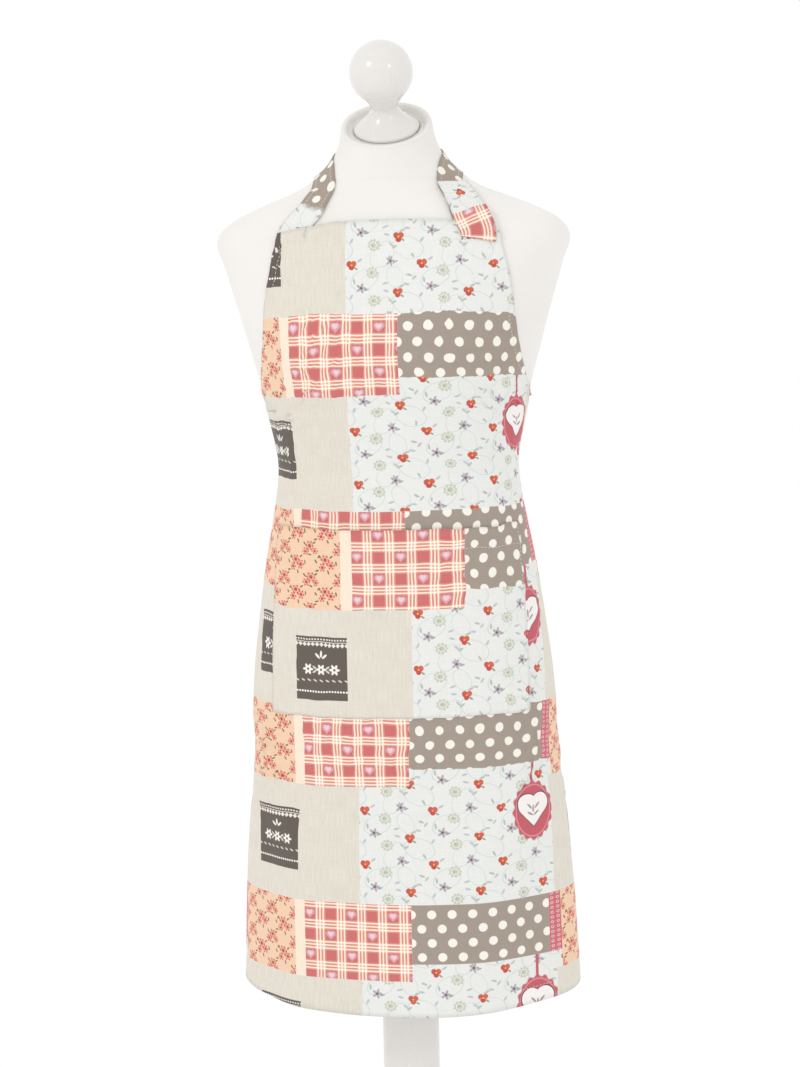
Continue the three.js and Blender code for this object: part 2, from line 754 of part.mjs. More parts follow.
const DRAPE = [...SKIRT, ...BUST.filter((row) => row.z >= HIP_HEIGHT)];

// The angle at which the cloth has gone this far round the bust from the front's middle.
function angleAcross(z, distance) {
  const step = 1.5 * DEGREE;
  const side = Math.sign(distance);
  let angle = 0;
  let gone = 0;
  let here = surface(DRAPE, 0, z, true);
  while (gone < Math.abs(distance) && angle < 175 * DEGREE) {
    angle += step;
    const next = surface(DRAPE, side * angle, z, true);
    const stride = next.distanceTo(here);
    if (gone + stride > Math.abs(distance)) {
      return side * (angle - step * (1 - (Math.abs(distance) - gone) / stride));
    }
    gone += stride;
    here = next;
  }
  return side * angle;
}

function clothPoint(u, z, offset) {
  return offSurface(DRAPE, angleAcross(z, u + APRON_SHIFT), z, offset, true);
}

function sheetBetween(places, offset) {
  const grid = (lift) => places.map((row) => row.map(([u, z]) => clothPoint(u, z, lift)));
  return slab(grid(offset + CLOTH), grid(offset));
}

function apronBody() {
  const columns = 24;
  // Rows down the armhole, closer together towards the side corner, as drops from the bib's top
  const armhole = [0, 31, 66, 101, 131, 151, 163, 172, 179, 185, 191, BIB_TOP - SIDE_CORNER];
  const steps = 10;
  const below = Array.from({ length: steps }, (_, i) =>
    THREE.MathUtils.lerp(SIDE_CORNER, HEM, (i + 1) / steps)
  );
  const levels = [...armhole.map((drop) => BIB_TOP - drop), ...below];
  const places = levels.map((z) => {
    const width = z < SIDE_CORNER ? APRON_HALF_WIDTH : valueAt(ARMHOLE, "width", z);
    return Array.from({ length: columns + 1 }, (_, i) => {
      const across = (2 * i) / columns - 1;
      const rise = BIB_RISE * Math.max(0, (z - BREAST_HEIGHT) / (BIB_TOP - BREAST_HEIGHT)) ** 2;
      const drop = HEM_DROP * Math.max(0, (SIDE_CORNER - z) / (SIDE_CORNER - HEM)) ** 2;
      return [across * width, z + (rise - drop) * (1 - across * across)];
    });
  });
  return sheetBetween(places, CLOTH_STANDOFF);
}

function pocketSolid() {
  const columns = 12;
  const rows = 6;
  const places = Array.from({ length: rows + 1 }, (_, r) =>
    Array.from({ length: columns + 1 }, (_, c) => [
      ((2 * c) / columns - 1) * POCKET_HALF_WIDTH,
      POCKET_TOP - (r / rows) * POCKET_HEIGHT,
    ])
  );
  return sheetBetween(places, CLOTH_STANDOFF + CLOTH + POCKET_STANDOFF);
}

// Steps along the bust's surface through { angle, z } points, angle in degrees. The curve runs
// on the surface laid flat, where a radian is about as wide as the neck's radius in millimetres.
function routeOnBust(points, offset, steps) {
  const radian = 100;
  const route = new THREE.CatmullRomCurve3(
    points.map((p) => new THREE.Vector3(p.angle * DEGREE * radian, p.z, 0))
  );
  return route.getPoints(steps).map((p) => ({
    at: offSurface(BUST, p.x / radian, p.y, offset),
    out: outward(BUST, p.x / radian, p.y, false),
  }));
}

function neckStrap() {
  const right = STRAP_ROUTE.slice(0, -1).reverse();
  const whole = [...STRAP_ROUTE, ...right.map((p) => ({ angle: -360 - p.angle, z: p.z }))];
  return band(routeOnBust(whole, STRAP_STANDOFF, 44), STRAP_WIDTH, CLOTH);
}

function neckTab() {
  const start = { angle: 31, z: BIB_TOP + 14 };
  const end = { angle: 40, z: start.z + TAB_RISE };
  const middle = { angle: 34, z: (start.z + end.z) / 2 };
  const lift = STRAP_STANDOFF + CLOTH + 1;
  return band(routeOnBust([start, middle, end], lift, 6), TAB_WIDTH, CLOTH);
}

const BACK_OF_WAIST = offSurface(BUST, Math.PI, TIE_HEIGHT, CLOTH_STANDOFF);

function waistTie(side) {
  const from = angleAcross(TIE_HEIGHT, APRON_HALF_WIDTH + side * APRON_SHIFT + 4);
  const to = Math.PI - (KNOT_WIDTH / 2 + 1) / -surface(BUST, 0, TIE_HEIGHT, false).y;
  const path = [0, 1, 2, 3].map((i) => {
    const angle = side * THREE.MathUtils.lerp(from, to, i / 3);
    return {
      at: offSurface(DRAPE, angle, TIE_HEIGHT, CLOTH_STANDOFF, true),
      out: outward(DRAPE, angle, TIE_HEIGHT, true),
    };
  });
  return band(path, TIE_WIDTH, CLOTH);
}

function tieKnot() {
  const ball = closed(new THREE.SphereGeometry(1, 12, 8));
  return ball
    .scale(KNOT_WIDTH / 2, KNOT_DEPTH / 2, KNOT_HEIGHT / 2)
    .translate(0, BACK_OF_WAIST.y + KNOT_DEPTH / 2, TIE_HEIGHT);
}

// A flattened ring of tape, seen from its edge, pushed out to the tape's width.
function bowLoop() {
  const end = BOW_DEPTH / 2;
  const outline = new THREE.Shape();
  outline.moveTo(end, -end);
  outline.lineTo(BOW_LENGTH - end, -end);
  outline.absarc(BOW_LENGTH - end, 0, end, -Math.PI / 2, Math.PI / 2);
  outline.lineTo(end, end);
  outline.absarc(end, 0, end, Math.PI / 2, (3 * Math.PI) / 2);
  const inner = end - CLOTH;
  const hole = new THREE.Path();
  hole.moveTo(end, -inner);
  hole.lineTo(BOW_LENGTH - end, -inner);
  hole.absarc(BOW_LENGTH - end, 0, inner, -Math.PI / 2, Math.PI / 2);
  hole.lineTo(end, inner);
  hole.absarc(end, 0, inner, Math.PI / 2, (3 * Math.PI) / 2);
  outline.holes.push(hole);
  const settings = { depth: TIE_WIDTH, bevelEnabled: false, curveSegments: 5 };
  return closed(new THREE.ExtrudeGeometry(outline, settings).translate(0, 0, -TIE_WIDTH / 2));
}

function addBow(side, name) {
  const tilt = new THREE.Group();
  tilt.position.set(
    side * (KNOT_WIDTH / 2 + 1),
    BACK_OF_WAIST.y + CLOTH + BOW_DEPTH / 2 + BOW_STANDOFF,
    TIE_HEIGHT
  );
  tilt.rotation.y = side > 0 ? BOW_DROOP : Math.PI - BOW_DROOP;
  pole.add(tilt);
  addPiece(tilt, `tie_loop_${name}`, bowLoop(), PRINT);
}

function tieTail(side) {
  const start = TIE_HEIGHT - KNOT_HEIGHT / 2 - 1;
  const steps = 8;
  const path = Array.from({ length: steps + 1 }, (_, i) => {
    const z = start - (TAIL_LENGTH * i) / steps;
    const angle = Math.PI - side * (TAIL_START + (TAIL_SPREAD * i) / steps);
    return {
      at: offSurface(DRAPE, angle, z, CLOTH_STANDOFF + CLOTH + TAIL_STANDOFF, true),
      out: outward(DRAPE, angle, z, true),
    };
  });
  return band(path, TIE_WIDTH, CLOTH);
}

addPiece(pole, "apron_body", apronBody(), PRINT);
addPiece(pole, "pocket", pocketSolid(), PRINT_DARK);
addPiece(pole, "neck_strap", neckStrap(), PRINT_DARK);
addPiece(pole, "neck_tab", neckTab(), PRINT);
addPiece(pole, "tie_knot", tieKnot(), PRINT);
for (const [name, side] of [["right", 1], ["left", -1]]) {
  addPiece(pole, `waist_tie_${name}`, waistTie(side), PRINT);
  addBow(side, name);
  addPiece(pole, `tie_tail_${name}`, tieTail(side), PRINT);
}

export default model;
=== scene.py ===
import math
from functools import lru_cache

import bmesh
import bpy
from mathutils import Matrix, Vector, noise
from mathutils.bvhtree import BVHTree


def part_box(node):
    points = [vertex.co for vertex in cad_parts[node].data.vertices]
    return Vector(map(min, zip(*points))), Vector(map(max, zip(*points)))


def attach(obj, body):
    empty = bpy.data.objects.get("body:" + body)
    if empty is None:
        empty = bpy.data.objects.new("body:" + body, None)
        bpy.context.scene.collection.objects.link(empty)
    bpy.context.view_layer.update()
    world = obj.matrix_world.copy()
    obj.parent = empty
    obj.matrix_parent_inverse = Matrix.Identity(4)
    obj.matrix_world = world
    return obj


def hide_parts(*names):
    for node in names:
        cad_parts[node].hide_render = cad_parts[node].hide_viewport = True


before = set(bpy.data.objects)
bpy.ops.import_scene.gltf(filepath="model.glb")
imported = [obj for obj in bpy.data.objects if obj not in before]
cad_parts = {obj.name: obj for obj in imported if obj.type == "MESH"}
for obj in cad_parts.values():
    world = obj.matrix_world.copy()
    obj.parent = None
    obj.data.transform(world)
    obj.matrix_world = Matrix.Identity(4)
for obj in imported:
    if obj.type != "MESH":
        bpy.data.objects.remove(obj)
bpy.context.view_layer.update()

# ---------------------------------------------------------------- sizes, in millimetres

MM = 0.001
DEGREE = math.pi / 180
tube_low, tube_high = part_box("post_tube")
POLE = Vector(((tube_low.x + tube_high.x) / 2, (tube_low.y + tube_high.y) / 2, 0))

APRON_SHIFT = 6
APRON_HALF_WIDTH = 300
BIB_TOP = 1356
BIB_RISE = 11
BREAST_HEIGHT = 1238
SIDE_CORNER = 1160
HEM = 537
HEM_DROP = 12
POCKET_HALF_WIDTH = 143
POCKET_TOP = 1048
POCKET_HEIGHT = 196
STRAP_WIDTH = 30
TAB_WIDTH = 36
TIE_WIDTH = 22
TIE_HEIGHT = 1146
TAIL_LENGTH = 300
BUST_BOTTOM = 725
CAP_THICKNESS = 8
NECK_TILT = 30 * DEGREE
NECK_CENTRE = Vector((0, -27, 1458))
NECK_AXIS = Vector((0, -math.sin(NECK_TILT), math.cos(NECK_TILT)))
COLUMN_TOP = 600
LEG_REACH = 270
LEG_THICKNESS = 26
LEG_ANGLES = {"front": -90, "right": 30, "left": 150}

JERSEY_OUT = 1.5  # bust's surface to the jersey's outside
CLOTH = 0.7  # printed cotton's thickness
CLOTH_OUT = 3.2  # bust's surface to the hanging cloth's inside

# Bust's cross-sections: height, half width, depth in front and behind, lean, squareness.
BUST = (
    (700, 138, 78, 86, 0, 2.1),
    (775, 157, 90, 101, 0, 2.1),
    (850, 163, 94, 108, 0, 2.1),
    (985, 147, 90, 94, 0, 2.1),
    (1103, 127, 85, 74, 0, 2.1),
    (1160, 135, 93, 78, 0, 2.2),
    (1240, 155, 104, 86, 0, 2.4),
    (1325, 179, 97, 88, 0, 2.8),
    (1352, 187, 91, 84, 2, 2.7),
    (1370, 173, 84, 80, 4, 2.4),
    (1387, 138, 77, 76, 7, 2.1),
    (1403, 97, 68, 69, 11, 2),
    (1420, 70, 60, 60, 15, 2),
    (1440, 55, 52, 52, 21, 2),
    (1465, 47, 47, 47, 29, 2),
    (1510, 45, 46, 46, 43, 2),
)
# The surface that the apron's skirt hangs on below the hips
DRAPE = ((500, 180, 103, 112, 0, 2.1), (682, 174, 99, 110, 0, 2.1)) + BUST[2:]
# Half of the apron's flat width, down the armhole's curve
ARMHOLE = (
    (1160, 300),
    (1170, 260),
    (1185, 205),
    (1205, 170),
    (1240, 148),
    (1300, 129),
    (1356, 114),
)
# Neck strap, from the bib's left round the nape to its right: degrees round the bust, and height
STRAP_ROUTE = (
    (-23.5, 1340),
    (-24.5, 1369),
    (-28.5, 1385),
    (-41, 1404),
    (-67, 1421),
    (-106, 1431),
    (-145, 1434),
    (-180, 1434),
    (-215, 1434),
    (-254, 1430),
    (-291, 1420),
    (-314, 1404),
    (-326, 1386),
    (-334, 1369),
    (-336, 1340),
)


# ---------------------------------------------------------------- bust's surface


def table_value(table, column, z):
    last = len(table) - 1
    i = next((k for k, row in enumerate(table) if row[0] > z), last + 1) - 1
    i = min(max(i, 0), last - 1)

    def slope(k):
        low, high = table[max(k - 1, 0)], table[min(k + 1, last)]
        return (high[column] - low[column]) / (high[0] - low[0])

    low, high = table[i], table[i + 1]
    span = high[0] - low[0]
    t = min(max((z - low[0]) / span, 0), 1)
    bend = t * t * (3 - 2 * t)
    lift = span * (slope(i) * t * (1 - t) ** 2 - slope(i + 1) * t * t * (1 - t))
    return low[column] * (1 - bend) + high[column] * bend + lift


@lru_cache(maxsize=None)
def section(table, z):
    return [table_value(table, column, z) for column in range(1, 6)]


def breast_rise(x, z, spanned):
    aside = abs(x) - 72
    if spanned:
        aside = max(aside, 0)
    return 14 * math.exp(-(aside**2 + (z - BREAST_HEIGHT) ** 2) / (2 * 46**2))


def surface(table, angle, z, spanned=False):
    half, front, back, lean, square = section(table, round(z, 2))
    sine, cosine = math.sin(angle), math.cos(angle)
    x = half * math.copysign(abs(sine) ** (2 / square), sine)
    forward = math.copysign(abs(cosine) ** (2 / square), cosine)
    depth = front if forward > 0 else back
    rise = breast_rise(x, z, spanned) * math.sqrt(forward) if forward > 0 else 0
    return Vector((x, -lean - forward * depth - rise, z))


def outward(table, angle, z, spanned=False):
    step = 0.02
    around = surface(table, angle + step, z, spanned) - surface(table, angle - step, z, spanned)
    up = surface(table, angle, z + 1, spanned) - surface(table, angle, z - 1, spanned)
    return around.cross(up).normalized()


def off_surface(table, angle, z, offset, spanned=False):
    return surface(table, angle, z, spanned) + outward(table, angle, z, spanned) * offset


@lru_cache(maxsize=None)
def arcs_round(z):
    """Lengths round the draped surface from the front's middle, one for each step of angle."""
    lengths, here = [0.0], surface(DRAPE, 0, z, True)
    for i in range(1, 118):
        there = surface(DRAPE, i * 1.5 * DEGREE, z, True)
        lengths.append(lengths[-1] + (there - here).length)
        here = there
    return lengths


def angle_across(z, distance):
    lengths = arcs_round(round(z))
    gone = abs(distance)
    i = next((k for k, length in enumerate(lengths) if length > gone), len(lengths) - 1)
    share = (gone - lengths[i - 1]) / (lengths[i] - lengths[i - 1])
    return math.copysign((i - 1 + share) * 1.5 * DEGREE, distance)


def front_lengths():
    """Length of cloth down the front's middle, from each height to the one below the bib."""
    lengths, here = {1400: 0.0}, surface(DRAPE, 0, 1400, True)
    for z in range(1399, 499, -1):
        there = surface(DRAPE, 0, z, True)
        lengths[z] = lengths[z + 1] + (there - here).length
        here = there
    return lengths


DOWN_FRONT = front_lengths()


def down_front(z):
    low = math.floor(z)
    return DOWN_FRONT[low] + (z - low) * (DOWN_FRONT[low + 1] - DOWN_FRONT[low])


def smooth_step(low, high, value):
    t = min(max((value - low) / (high - low), 0), 1)
    return t * t * (3 - 2 * t)


def placed(point):
    """A point in millimetres from the post's axis, as metres in the frame."""
    return point * MM + POLE


def through(points, steps):
    """Evenly stepped points of a smooth curve through the given ones."""
    ends = [points[0]] + list(points) + [points[-1]]
    made = []
    for i in range(steps + 1):
        at = i / steps * (len(points) - 1)
        k = min(int(at), len(points) - 2)
        t = at - k
        a, b, c, d = (Vector(p) for p in ends[k : k + 4])
        made.append(
            0.5
            * (
                2 * b
                + (c - a) * t
                + (2 * a - 5 * b + 4 * c - d) * t**2
                + (3 * b - a - 3 * c + d) * t**3
            )
        )
    return made


# ---------------------------------------------------------------- materials


def rgb(code):
    """An sRGB hex colour as linear RGBA."""
    parts = [int(code[i : i + 2], 16) / 255 for i in (0, 2, 4)]
    return (*(p / 12.92 if p <= 0.04045 else ((p + 0.055) / 1.055) ** 2.4 for p in parts), 1)


def node(tree, kind, sockets=None, **settings):
    made = tree.nodes.new(kind)
    for name, value in settings.items():
        setattr(made, name, value)
    for name, value in (sockets or {}).items():
        if isinstance(value, bpy.types.NodeSocket):
            tree.links.new(value, made.inputs[name])
        else:
            made.inputs[name].default_value = value
    return made


def new_material(name, **values):
    """A material with its shader's even values set, and its node tree."""
    material = bpy.data.materials.new(name)
    material.use_nodes = True
    tree = material.node_tree
    shader = tree.nodes["Principled BSDF"]
    for socket, value in values.items():
        shader.inputs[socket.replace("_", " ")].default_value = value
    return material, tree, shader


def motif(tree, where, shape, centre, half, tile=None, turn=0, lobes=0, depth=0, ring=0, soft=0.1):
    """A printed shape's mask: 1 inside. Sizes in millimetres; it repeats on its tile."""
    at = node(
        tree, "ShaderNodeVectorMath", {0: where, 1: (*centre, 0)}, operation="SUBTRACT"
    ).outputs[0]
    if tile:
        high = (tile[0] / 2, tile[1] / 2, 1)
        low = (-tile[0] / 2, -tile[1] / 2, -1)
        at = node(
            tree, "ShaderNodeVectorMath", {0: at, 1: high, 2: low}, operation="WRAP"
        ).outputs[0]
    if turn or lobes or shape == "box":
        c, s = math.cos(turn * DEGREE), math.sin(turn * DEGREE)
        along, across = (
            node(
                tree, "ShaderNodeVectorMath", {0: at, 1: way}, operation="DOT_PRODUCT"
            ).outputs["Value"]
            for way in ((c / half[0], s / half[0], 0), (-s / half[1], c / half[1], 0))
        )
        at = node(tree, "ShaderNodeCombineXYZ", {0: along, 1: across}).outputs[0]
    else:
        at = node(
            tree, "ShaderNodeVectorMath", {0: at, 1: (*half, 1)}, operation="DIVIDE"
        ).outputs[0]
    size = node(tree, "ShaderNodeVectorMath", {0: at}, operation="LENGTH").outputs["Value"]
    if shape == "box":
        aside, down = (
            node(tree, "ShaderNodeMath", {0: part}, operation="ABSOLUTE").outputs[0]
            for part in (along, across)
        )
        size = node(tree, "ShaderNodeMath", {0: aside, 1: down}, operation="MAXIMUM").outputs[0]
    if lobes:
        angle = node(tree, "ShaderNodeMath", {0: across, 1: along}, operation="ARCTAN2")
        turns = node(tree, "ShaderNodeMath", {0: angle.outputs[0], 1: lobes}, operation="MULTIPLY")
        wave = node(tree, "ShaderNodeMath", {0: turns.outputs[0]}, operation="COSINE")
        reach = node(
            tree, "ShaderNodeMath", {0: wave.outputs[0], 1: depth, 2: 1}, operation="MULTIPLY_ADD"
        )
        size = node(
            tree, "ShaderNodeMath", {0: size, 1: reach.outputs[0]}, operation="DIVIDE"
        ).outputs[0]
    if ring:
        size = node(tree, "ShaderNodeMath", {0: size, 1: 1}, operation="SUBTRACT").outputs[0]
        size = node(tree, "ShaderNodeMath", {0: size}, operation="ABSOLUTE").outputs[0]
        size = node(tree, "ShaderNodeMath", {0: size, 1: ring}, operation="DIVIDE").outputs[0]
    return node(
        tree, "ShaderNodeMapRange", {0: size, 1: 1 + soft, 2: 1 - soft, 3: 0, 4: 1}
    ).outputs[0]


def printed(tree, where, ground, motifs, tile=None):
    """Ground colour with the motifs printed over it, in their order."""
    colour = ground
    for code, shape, centre, half, *more in motifs:
        options = {"tile": tile, **(more[0] if more else {})}
        mask = motif(tree, where, shape, centre, half, **options)
        colour = node(
            tree, "ShaderNodeMix", {0: mask, 6: colour, 7: rgb(code)}, data_type="RGBA"
        ).outputs[2]
    return colour


def blossom(x, y):
    return [
        ("C95B4D", "round", (x - 2.3, y - 1), (2.9, 3.1)),
        ("D2664F", "round", (x + 2.4, y - 1.2), (2.9, 3)),
        ("C4524B", "round", (x, y + 2.4), (2.8, 3)),
        ("E9B35A", "round", (x, y + 0.2), (1.1, 1)),
        ("93A38C", "round", (x + 4.6, y + 3.8), (2.4, 1), {"turn": 35}),
    ]


def star_flower(x, y):
    return [
        ("B5A8B2", "round", (x, y), (3.9, 3.9), {"lobes": 5, "depth": 0.42}),
        ("6E5F69", "round", (x, y), (1.3, 1.3)),
        ("9FA9A0", "round", (x + 5.5, y + 1.5), (2.8, 0.9), {"turn": -20}),
    ]


def leafy_round(x, y):
    return [
        ("C6C9B8", "round", (x, y), (6.2, 5.6), {"lobes": 9, "depth": 0.13}),
        ("E4E5DC", "round", (x, y), (3.6, 3.2), {"ring": 0.16, "lobes": 7, "depth": 0.12}),
        ("B2B7A4", "round", (x - 1, y), (1.3, 1.2)),
    ]


def rose(x, y, size):
    return [
        ("CB6B60", "round", (x, y), (size, size), {"lobes": 6, "depth": 0.22}),
        ("EDB79E", "round", (x, y), (size * 0.62, size * 0.62), {"ring": 0.2}),
        ("B9524C", "round", (x, y), (size * 0.3, size * 0.3)),
    ]


FLORAL_TILE = (72, 58)
VINES = [
    ("D3DAD8", "round", (10, 12), (16, 11), {"ring": 0.045, "turn": 20}),
    ("D3DAD8", "round", (38, 44), (15, 10), {"ring": 0.05, "turn": -25}),
    ("D6DCD6", "round", (56, 18), (10, 15), {"ring": 0.05, "turn": 35}),
    ("D6DCD6", "round", (-4, 42), (12, 8), {"ring": 0.06, "turn": 60}),
]
SMALL_LEAVES = [
    ("B6C0B4" if i % 2 else "BFC3C6", "round", (x, y), (3.1, 1.2), {"turn": turn})
    for i, (x, y, turn) in enumerate(
        [
            (-8, 8, 40), (-4, 10, -30), (9, -8, 10), (15, 20, 60), (33, 24, -35),
            (12, 41, 20), (17, 44, -50), (62, 22, 75), (58, 48, -15), (38, -5, 30),
            (24, 4, -60), (27, 46, 80), (59, -2, 15), (4, 52, -25),
        ]
    )
]
FLORAL = (
    VINES
    + SMALL_LEAVES
    + leafy_round(48, 8)
    + leafy_round(46, 37)
    + star_flower(-9, 25)
    + star_flower(34, 53)
    + blossom(0, 0)
    + blossom(24.4, 28.7)
)
DOTS = [
    ("F3EEE4", "round", (0, 2), (4.7, 4.7), {"soft": 0.06}),
    ("F3EEE4", "round", (10.5, 17.3), (4.7, 4.7), {"soft": 0.06}),
]
CHECK_PERIOD = 22.5
LINE = 100000  # as long as the cloth needs
CHECK = (
    [("CC7170", "box", (5.7, 5.7), (5.8, 5.8), {"tile": (CHECK_PERIOD, CHECK_PERIOD)})]
    + [
        (code, "box", centre, half, {"tile": (22.5, 22.5)})
        for code, centre, half in [
            ("DB8D81", (5.7, 16.9), (5.8, 5.4)),
            ("DB8D81", (16.9, 5.7), (5.4, 5.8)),
        ]
    ]
    + [
        ("F7E6D2", "box", (16.9 + step, 0), (0.8, LINE), {"tile": (CHECK_PERIOD, LINE)})
        for step in (-3.5, 0, 3.5)
    ]
    + [
        ("F7E6D2", "box", (0, 16.9 + step), (LINE, 0.8), {"tile": (LINE, CHECK_PERIOD)})
        for step in (-3.5, 0, 3.5)
    ]
    + [
        ("FBF6EE", "box", (16.9 + a, 16.9 + b), (0.9, 0.9), {"tile": (22.5, 22.5)})
        for a in (-3.5, 0, 3.5)
        for b in (-3.5, 0, 3.5)
    ]
)


def heart(code, x, y, size, more=None):
    """Two round lobes above a square standing on its corner. Down is +y."""
    lobe = size * 0.36
    return [
        (code, "box", (x, y + size * 0.06), (lobe, lobe), {**(more or {}), "turn": 45}),
        (code, "round", (x - lobe * 0.7, y - size * 0.2), (lobe, lobe), more or {}),
        (code, "round", (x + lobe * 0.7, y - size * 0.2), (lobe, lobe), more or {}),
    ]


TWO_CHECKS = {"tile": (45, 45), "soft": 0.12}
for heart_x, heart_y in ((5.7, 28.2), (28.2, 5.7)):
    CHECK = CHECK + heart("D9A3AE", heart_x, heart_y, 8.5, TWO_CHECKS)
    CHECK = CHECK + heart("EBCBD1", heart_x, heart_y - 0.8, 5, TWO_CHECKS)
ROSE_TILE = (36, 32)
PEACH = (
    rose(0, 0, 4.6)
    + rose(6.6, 5, 3.9)
    + rose(-3.4, 7.4, 3.4)
    + rose(18.6, 17.4, 4.4)
    + rose(13, 23, 3.6)
    + rose(24.4, 22.6, 3.2)
    + [
        ("87744F", "round", (x, y), (2.3, 0.9), {"turn": turn})
        for x, y, turn in [
            (7.2, -3.6, -40), (-6.6, -2.8, 35), (3.2, 12.2, 70), (24.4, 14.2, -30),
            (12, 15.4, 50), (18.2, 26.6, 20), (-9.6, 10.6, -15), (12.4, 2.8, 80),
            (-10.5, 2.2, 60), (28.6, 29, -50),
        ]
    ]
)
LACE = [
    ("E9BDBF", "round", (3.7, 0), (2.1, 1.6), {"tile": (7.4, 5.2)}),
    ("B9555B", "round", (3.7, 0), (0.9, 0.7), {"tile": (7.4, 5.2)}),
]
# Plain ornament for the dark labels: a lace edge, a sprig over a garland, and a beaded line
LABEL = (
    [("E6E0D6", "round", (0, -30), (1.1, 0.9), {"tile": (3.2, LINE)})]
    + [("CFC8BD", "box", (0, -27.4), (LINE, 0.5))]
    + [("E9E4DB", "box", (0, -24.6), (1.7, 1.7), {"tile": (4.8, LINE), "turn": 45})]
    + [
        ("F1EDE6", "round", (x, y), (3.4, 1.2), {"turn": turn})
        for x, y, turn in [(0, -15, 90), (-4, -13, 40), (4, -13, -40)]
    ]
    + [
        ("F1EDE6", "round", (x, 1), (4.6, 4.6), {"lobes": 6, "depth": 0.3})
        for x in (-15, 0, 15)
    ]
    + [("655C55", "round", (x, 1), (1.3, 1.3)) for x in (-15, 0, 15)]
    + [
        ("DAD3C9", "round", (x, y), (2.6, 1), {"turn": turn})
        for x, y, turn in [(-7.5, -1, 35), (-7.5, 3.2, -35), (7.5, -1, -35), (7.5, 3.2, 35)]
    ]
    + [("DAD3C9", "round", (0, 12.5), (2.3, 0.8), {"tile": (7, LINE), "turn": 25})]
    + [("F4F0EA", "round", (0, 24), (1.1, 1.1), {"tile": (3.1, LINE)})]
)
HEART_TAG = (
    [("C4606A", "box", (0, -47), (1.6, 16))]
    + [("C4606A", "round", (0, 0), (24.5, 31), {"lobes": 16, "depth": 0.045, "soft": 0.03})]
    + [("D98D93", "round", (0, 0), (21.5, 27.5), {"ring": 0.03})]
    + heart("5A484A", 0, -1, 33, {"soft": 0.03})
    + heart("F3EDEA", 0, -1, 31, {"soft": 0.03})
    + [
        ("A9969A", "round", (x, y), (4.3, 1.1), {"turn": turn})
        for x, y, turn in [(0, -2, 90), (-5, -5, 45), (5, -5, -45), (-4, 3, 30), (4, 3, -30)]
    ]
)
REPEAT = (380, 210)  # the print's whole repeat, across and down


def moved(motifs, x, y):
    """The same motifs about another middle."""
    return [(code, shape, (cx + x, cy + y), *rest) for code, shape, (cx, cy), *rest in motifs]


def patch(tree, where, below, colour, left, top, right, bottom, repeat):
    """One printed patch laid over the colours below it."""
    centre = ((left + right) / 2, (top + bottom) / 2)
    half = ((right - left) / 2, (bottom - top) / 2)
    mask = motif(tree, where, "box", centre, half, tile=repeat, soft=0.004)
    return node(
        tree, "ShaderNodeMix", {0: mask, 6: below, 7: colour}, data_type="RGBA"
    ).outputs[2]


# Printed cotton, plain woven and hemmed: matt, faintly fuzzy, with threads that catch the light.
# Its threads are 0.4 mm apart, too fine to show, so they are drawn at 1.3 mm.
def printed_cotton(name, layout):
    material, tree, shader = new_material(
        name, Roughness=0.88, Sheen_Weight=0.12, Sheen_Roughness=0.5, Specular_IOR_Level=0.25
    )
    where = node(tree, "ShaderNodeUVMap", uv_map="flat_cut").outputs[0]
    slub_at = node(tree, "ShaderNodeMapping", {0: where, "Scale": (0.75, 0.05, 1)}).outputs[0]
    slub = node(tree, "ShaderNodeTexNoise", {"Vector": slub_at, "Scale": 1, "Detail": 3}).outputs[0]
    pick_at = node(tree, "ShaderNodeMapping", {0: where, "Scale": (0.05, 0.75, 1)}).outputs[0]
    pick = node(tree, "ShaderNodeTexNoise", {"Vector": pick_at, "Scale": 1, "Detail": 3}).outputs[0]
    threads = node(tree, "ShaderNodeMath", {0: slub, 1: pick}, operation="ADD").outputs[0]
    # One plain vector for every motif: a converted one for each would be too much for the shader
    flat = node(tree, "ShaderNodeVectorMath", {0: where}, operation="ADD").outputs[0]
    colour = layout(tree, flat)
    shade = node(
        tree, "ShaderNodeMapRange", {0: threads, 1: 0.7, 2: 1.3, 3: 0.965, 4: 1.03}
    ).outputs[0]
    colour = node(
        tree, "ShaderNodeVectorMath", {0: colour, "Scale": shade}, operation="SCALE"
    ).outputs[0]
    warp_at = node(tree, "ShaderNodeMapping", {0: where, "Scale": (0.77, 0.77, 1)}).outputs[0]
    warp = node(
        tree, "ShaderNodeTexWave", {"Vector": warp_at, "Scale": 0.31}, bands_direction="X"
    ).outputs["Fac"]
    weft = node(
        tree, "ShaderNodeTexWave", {"Vector": warp_at, "Scale": 0.31}, bands_direction="Y"
    ).outputs["Fac"]
    weave = node(tree, "ShaderNodeMath", {0: warp, 1: weft}, operation="MULTIPLY").outputs[0]
    edge = node(tree, "ShaderNodeAttribute", attribute_name="edge_mm").outputs["Fac"]
    hem = node(tree, "ShaderNodeMapRange", {0: edge, 1: 9.5, 2: 7.5, 3: 0, 4: 3}).outputs[0]
    height = node(tree, "ShaderNodeMath", {0: weave, 1: threads}, operation="ADD").outputs[0]
    height = node(tree, "ShaderNodeMath", {0: height, 1: hem}, operation="ADD").outputs[0]
    bump = node(
        tree, "ShaderNodeBump", {"Height": height, "Strength": 0.35, "Distance": 0.0003}
    ).outputs[0]
    tree.links.new(colour, shader.inputs["Base Color"])
    tree.links.new(bump, shader.inputs["Normal"])
    return material


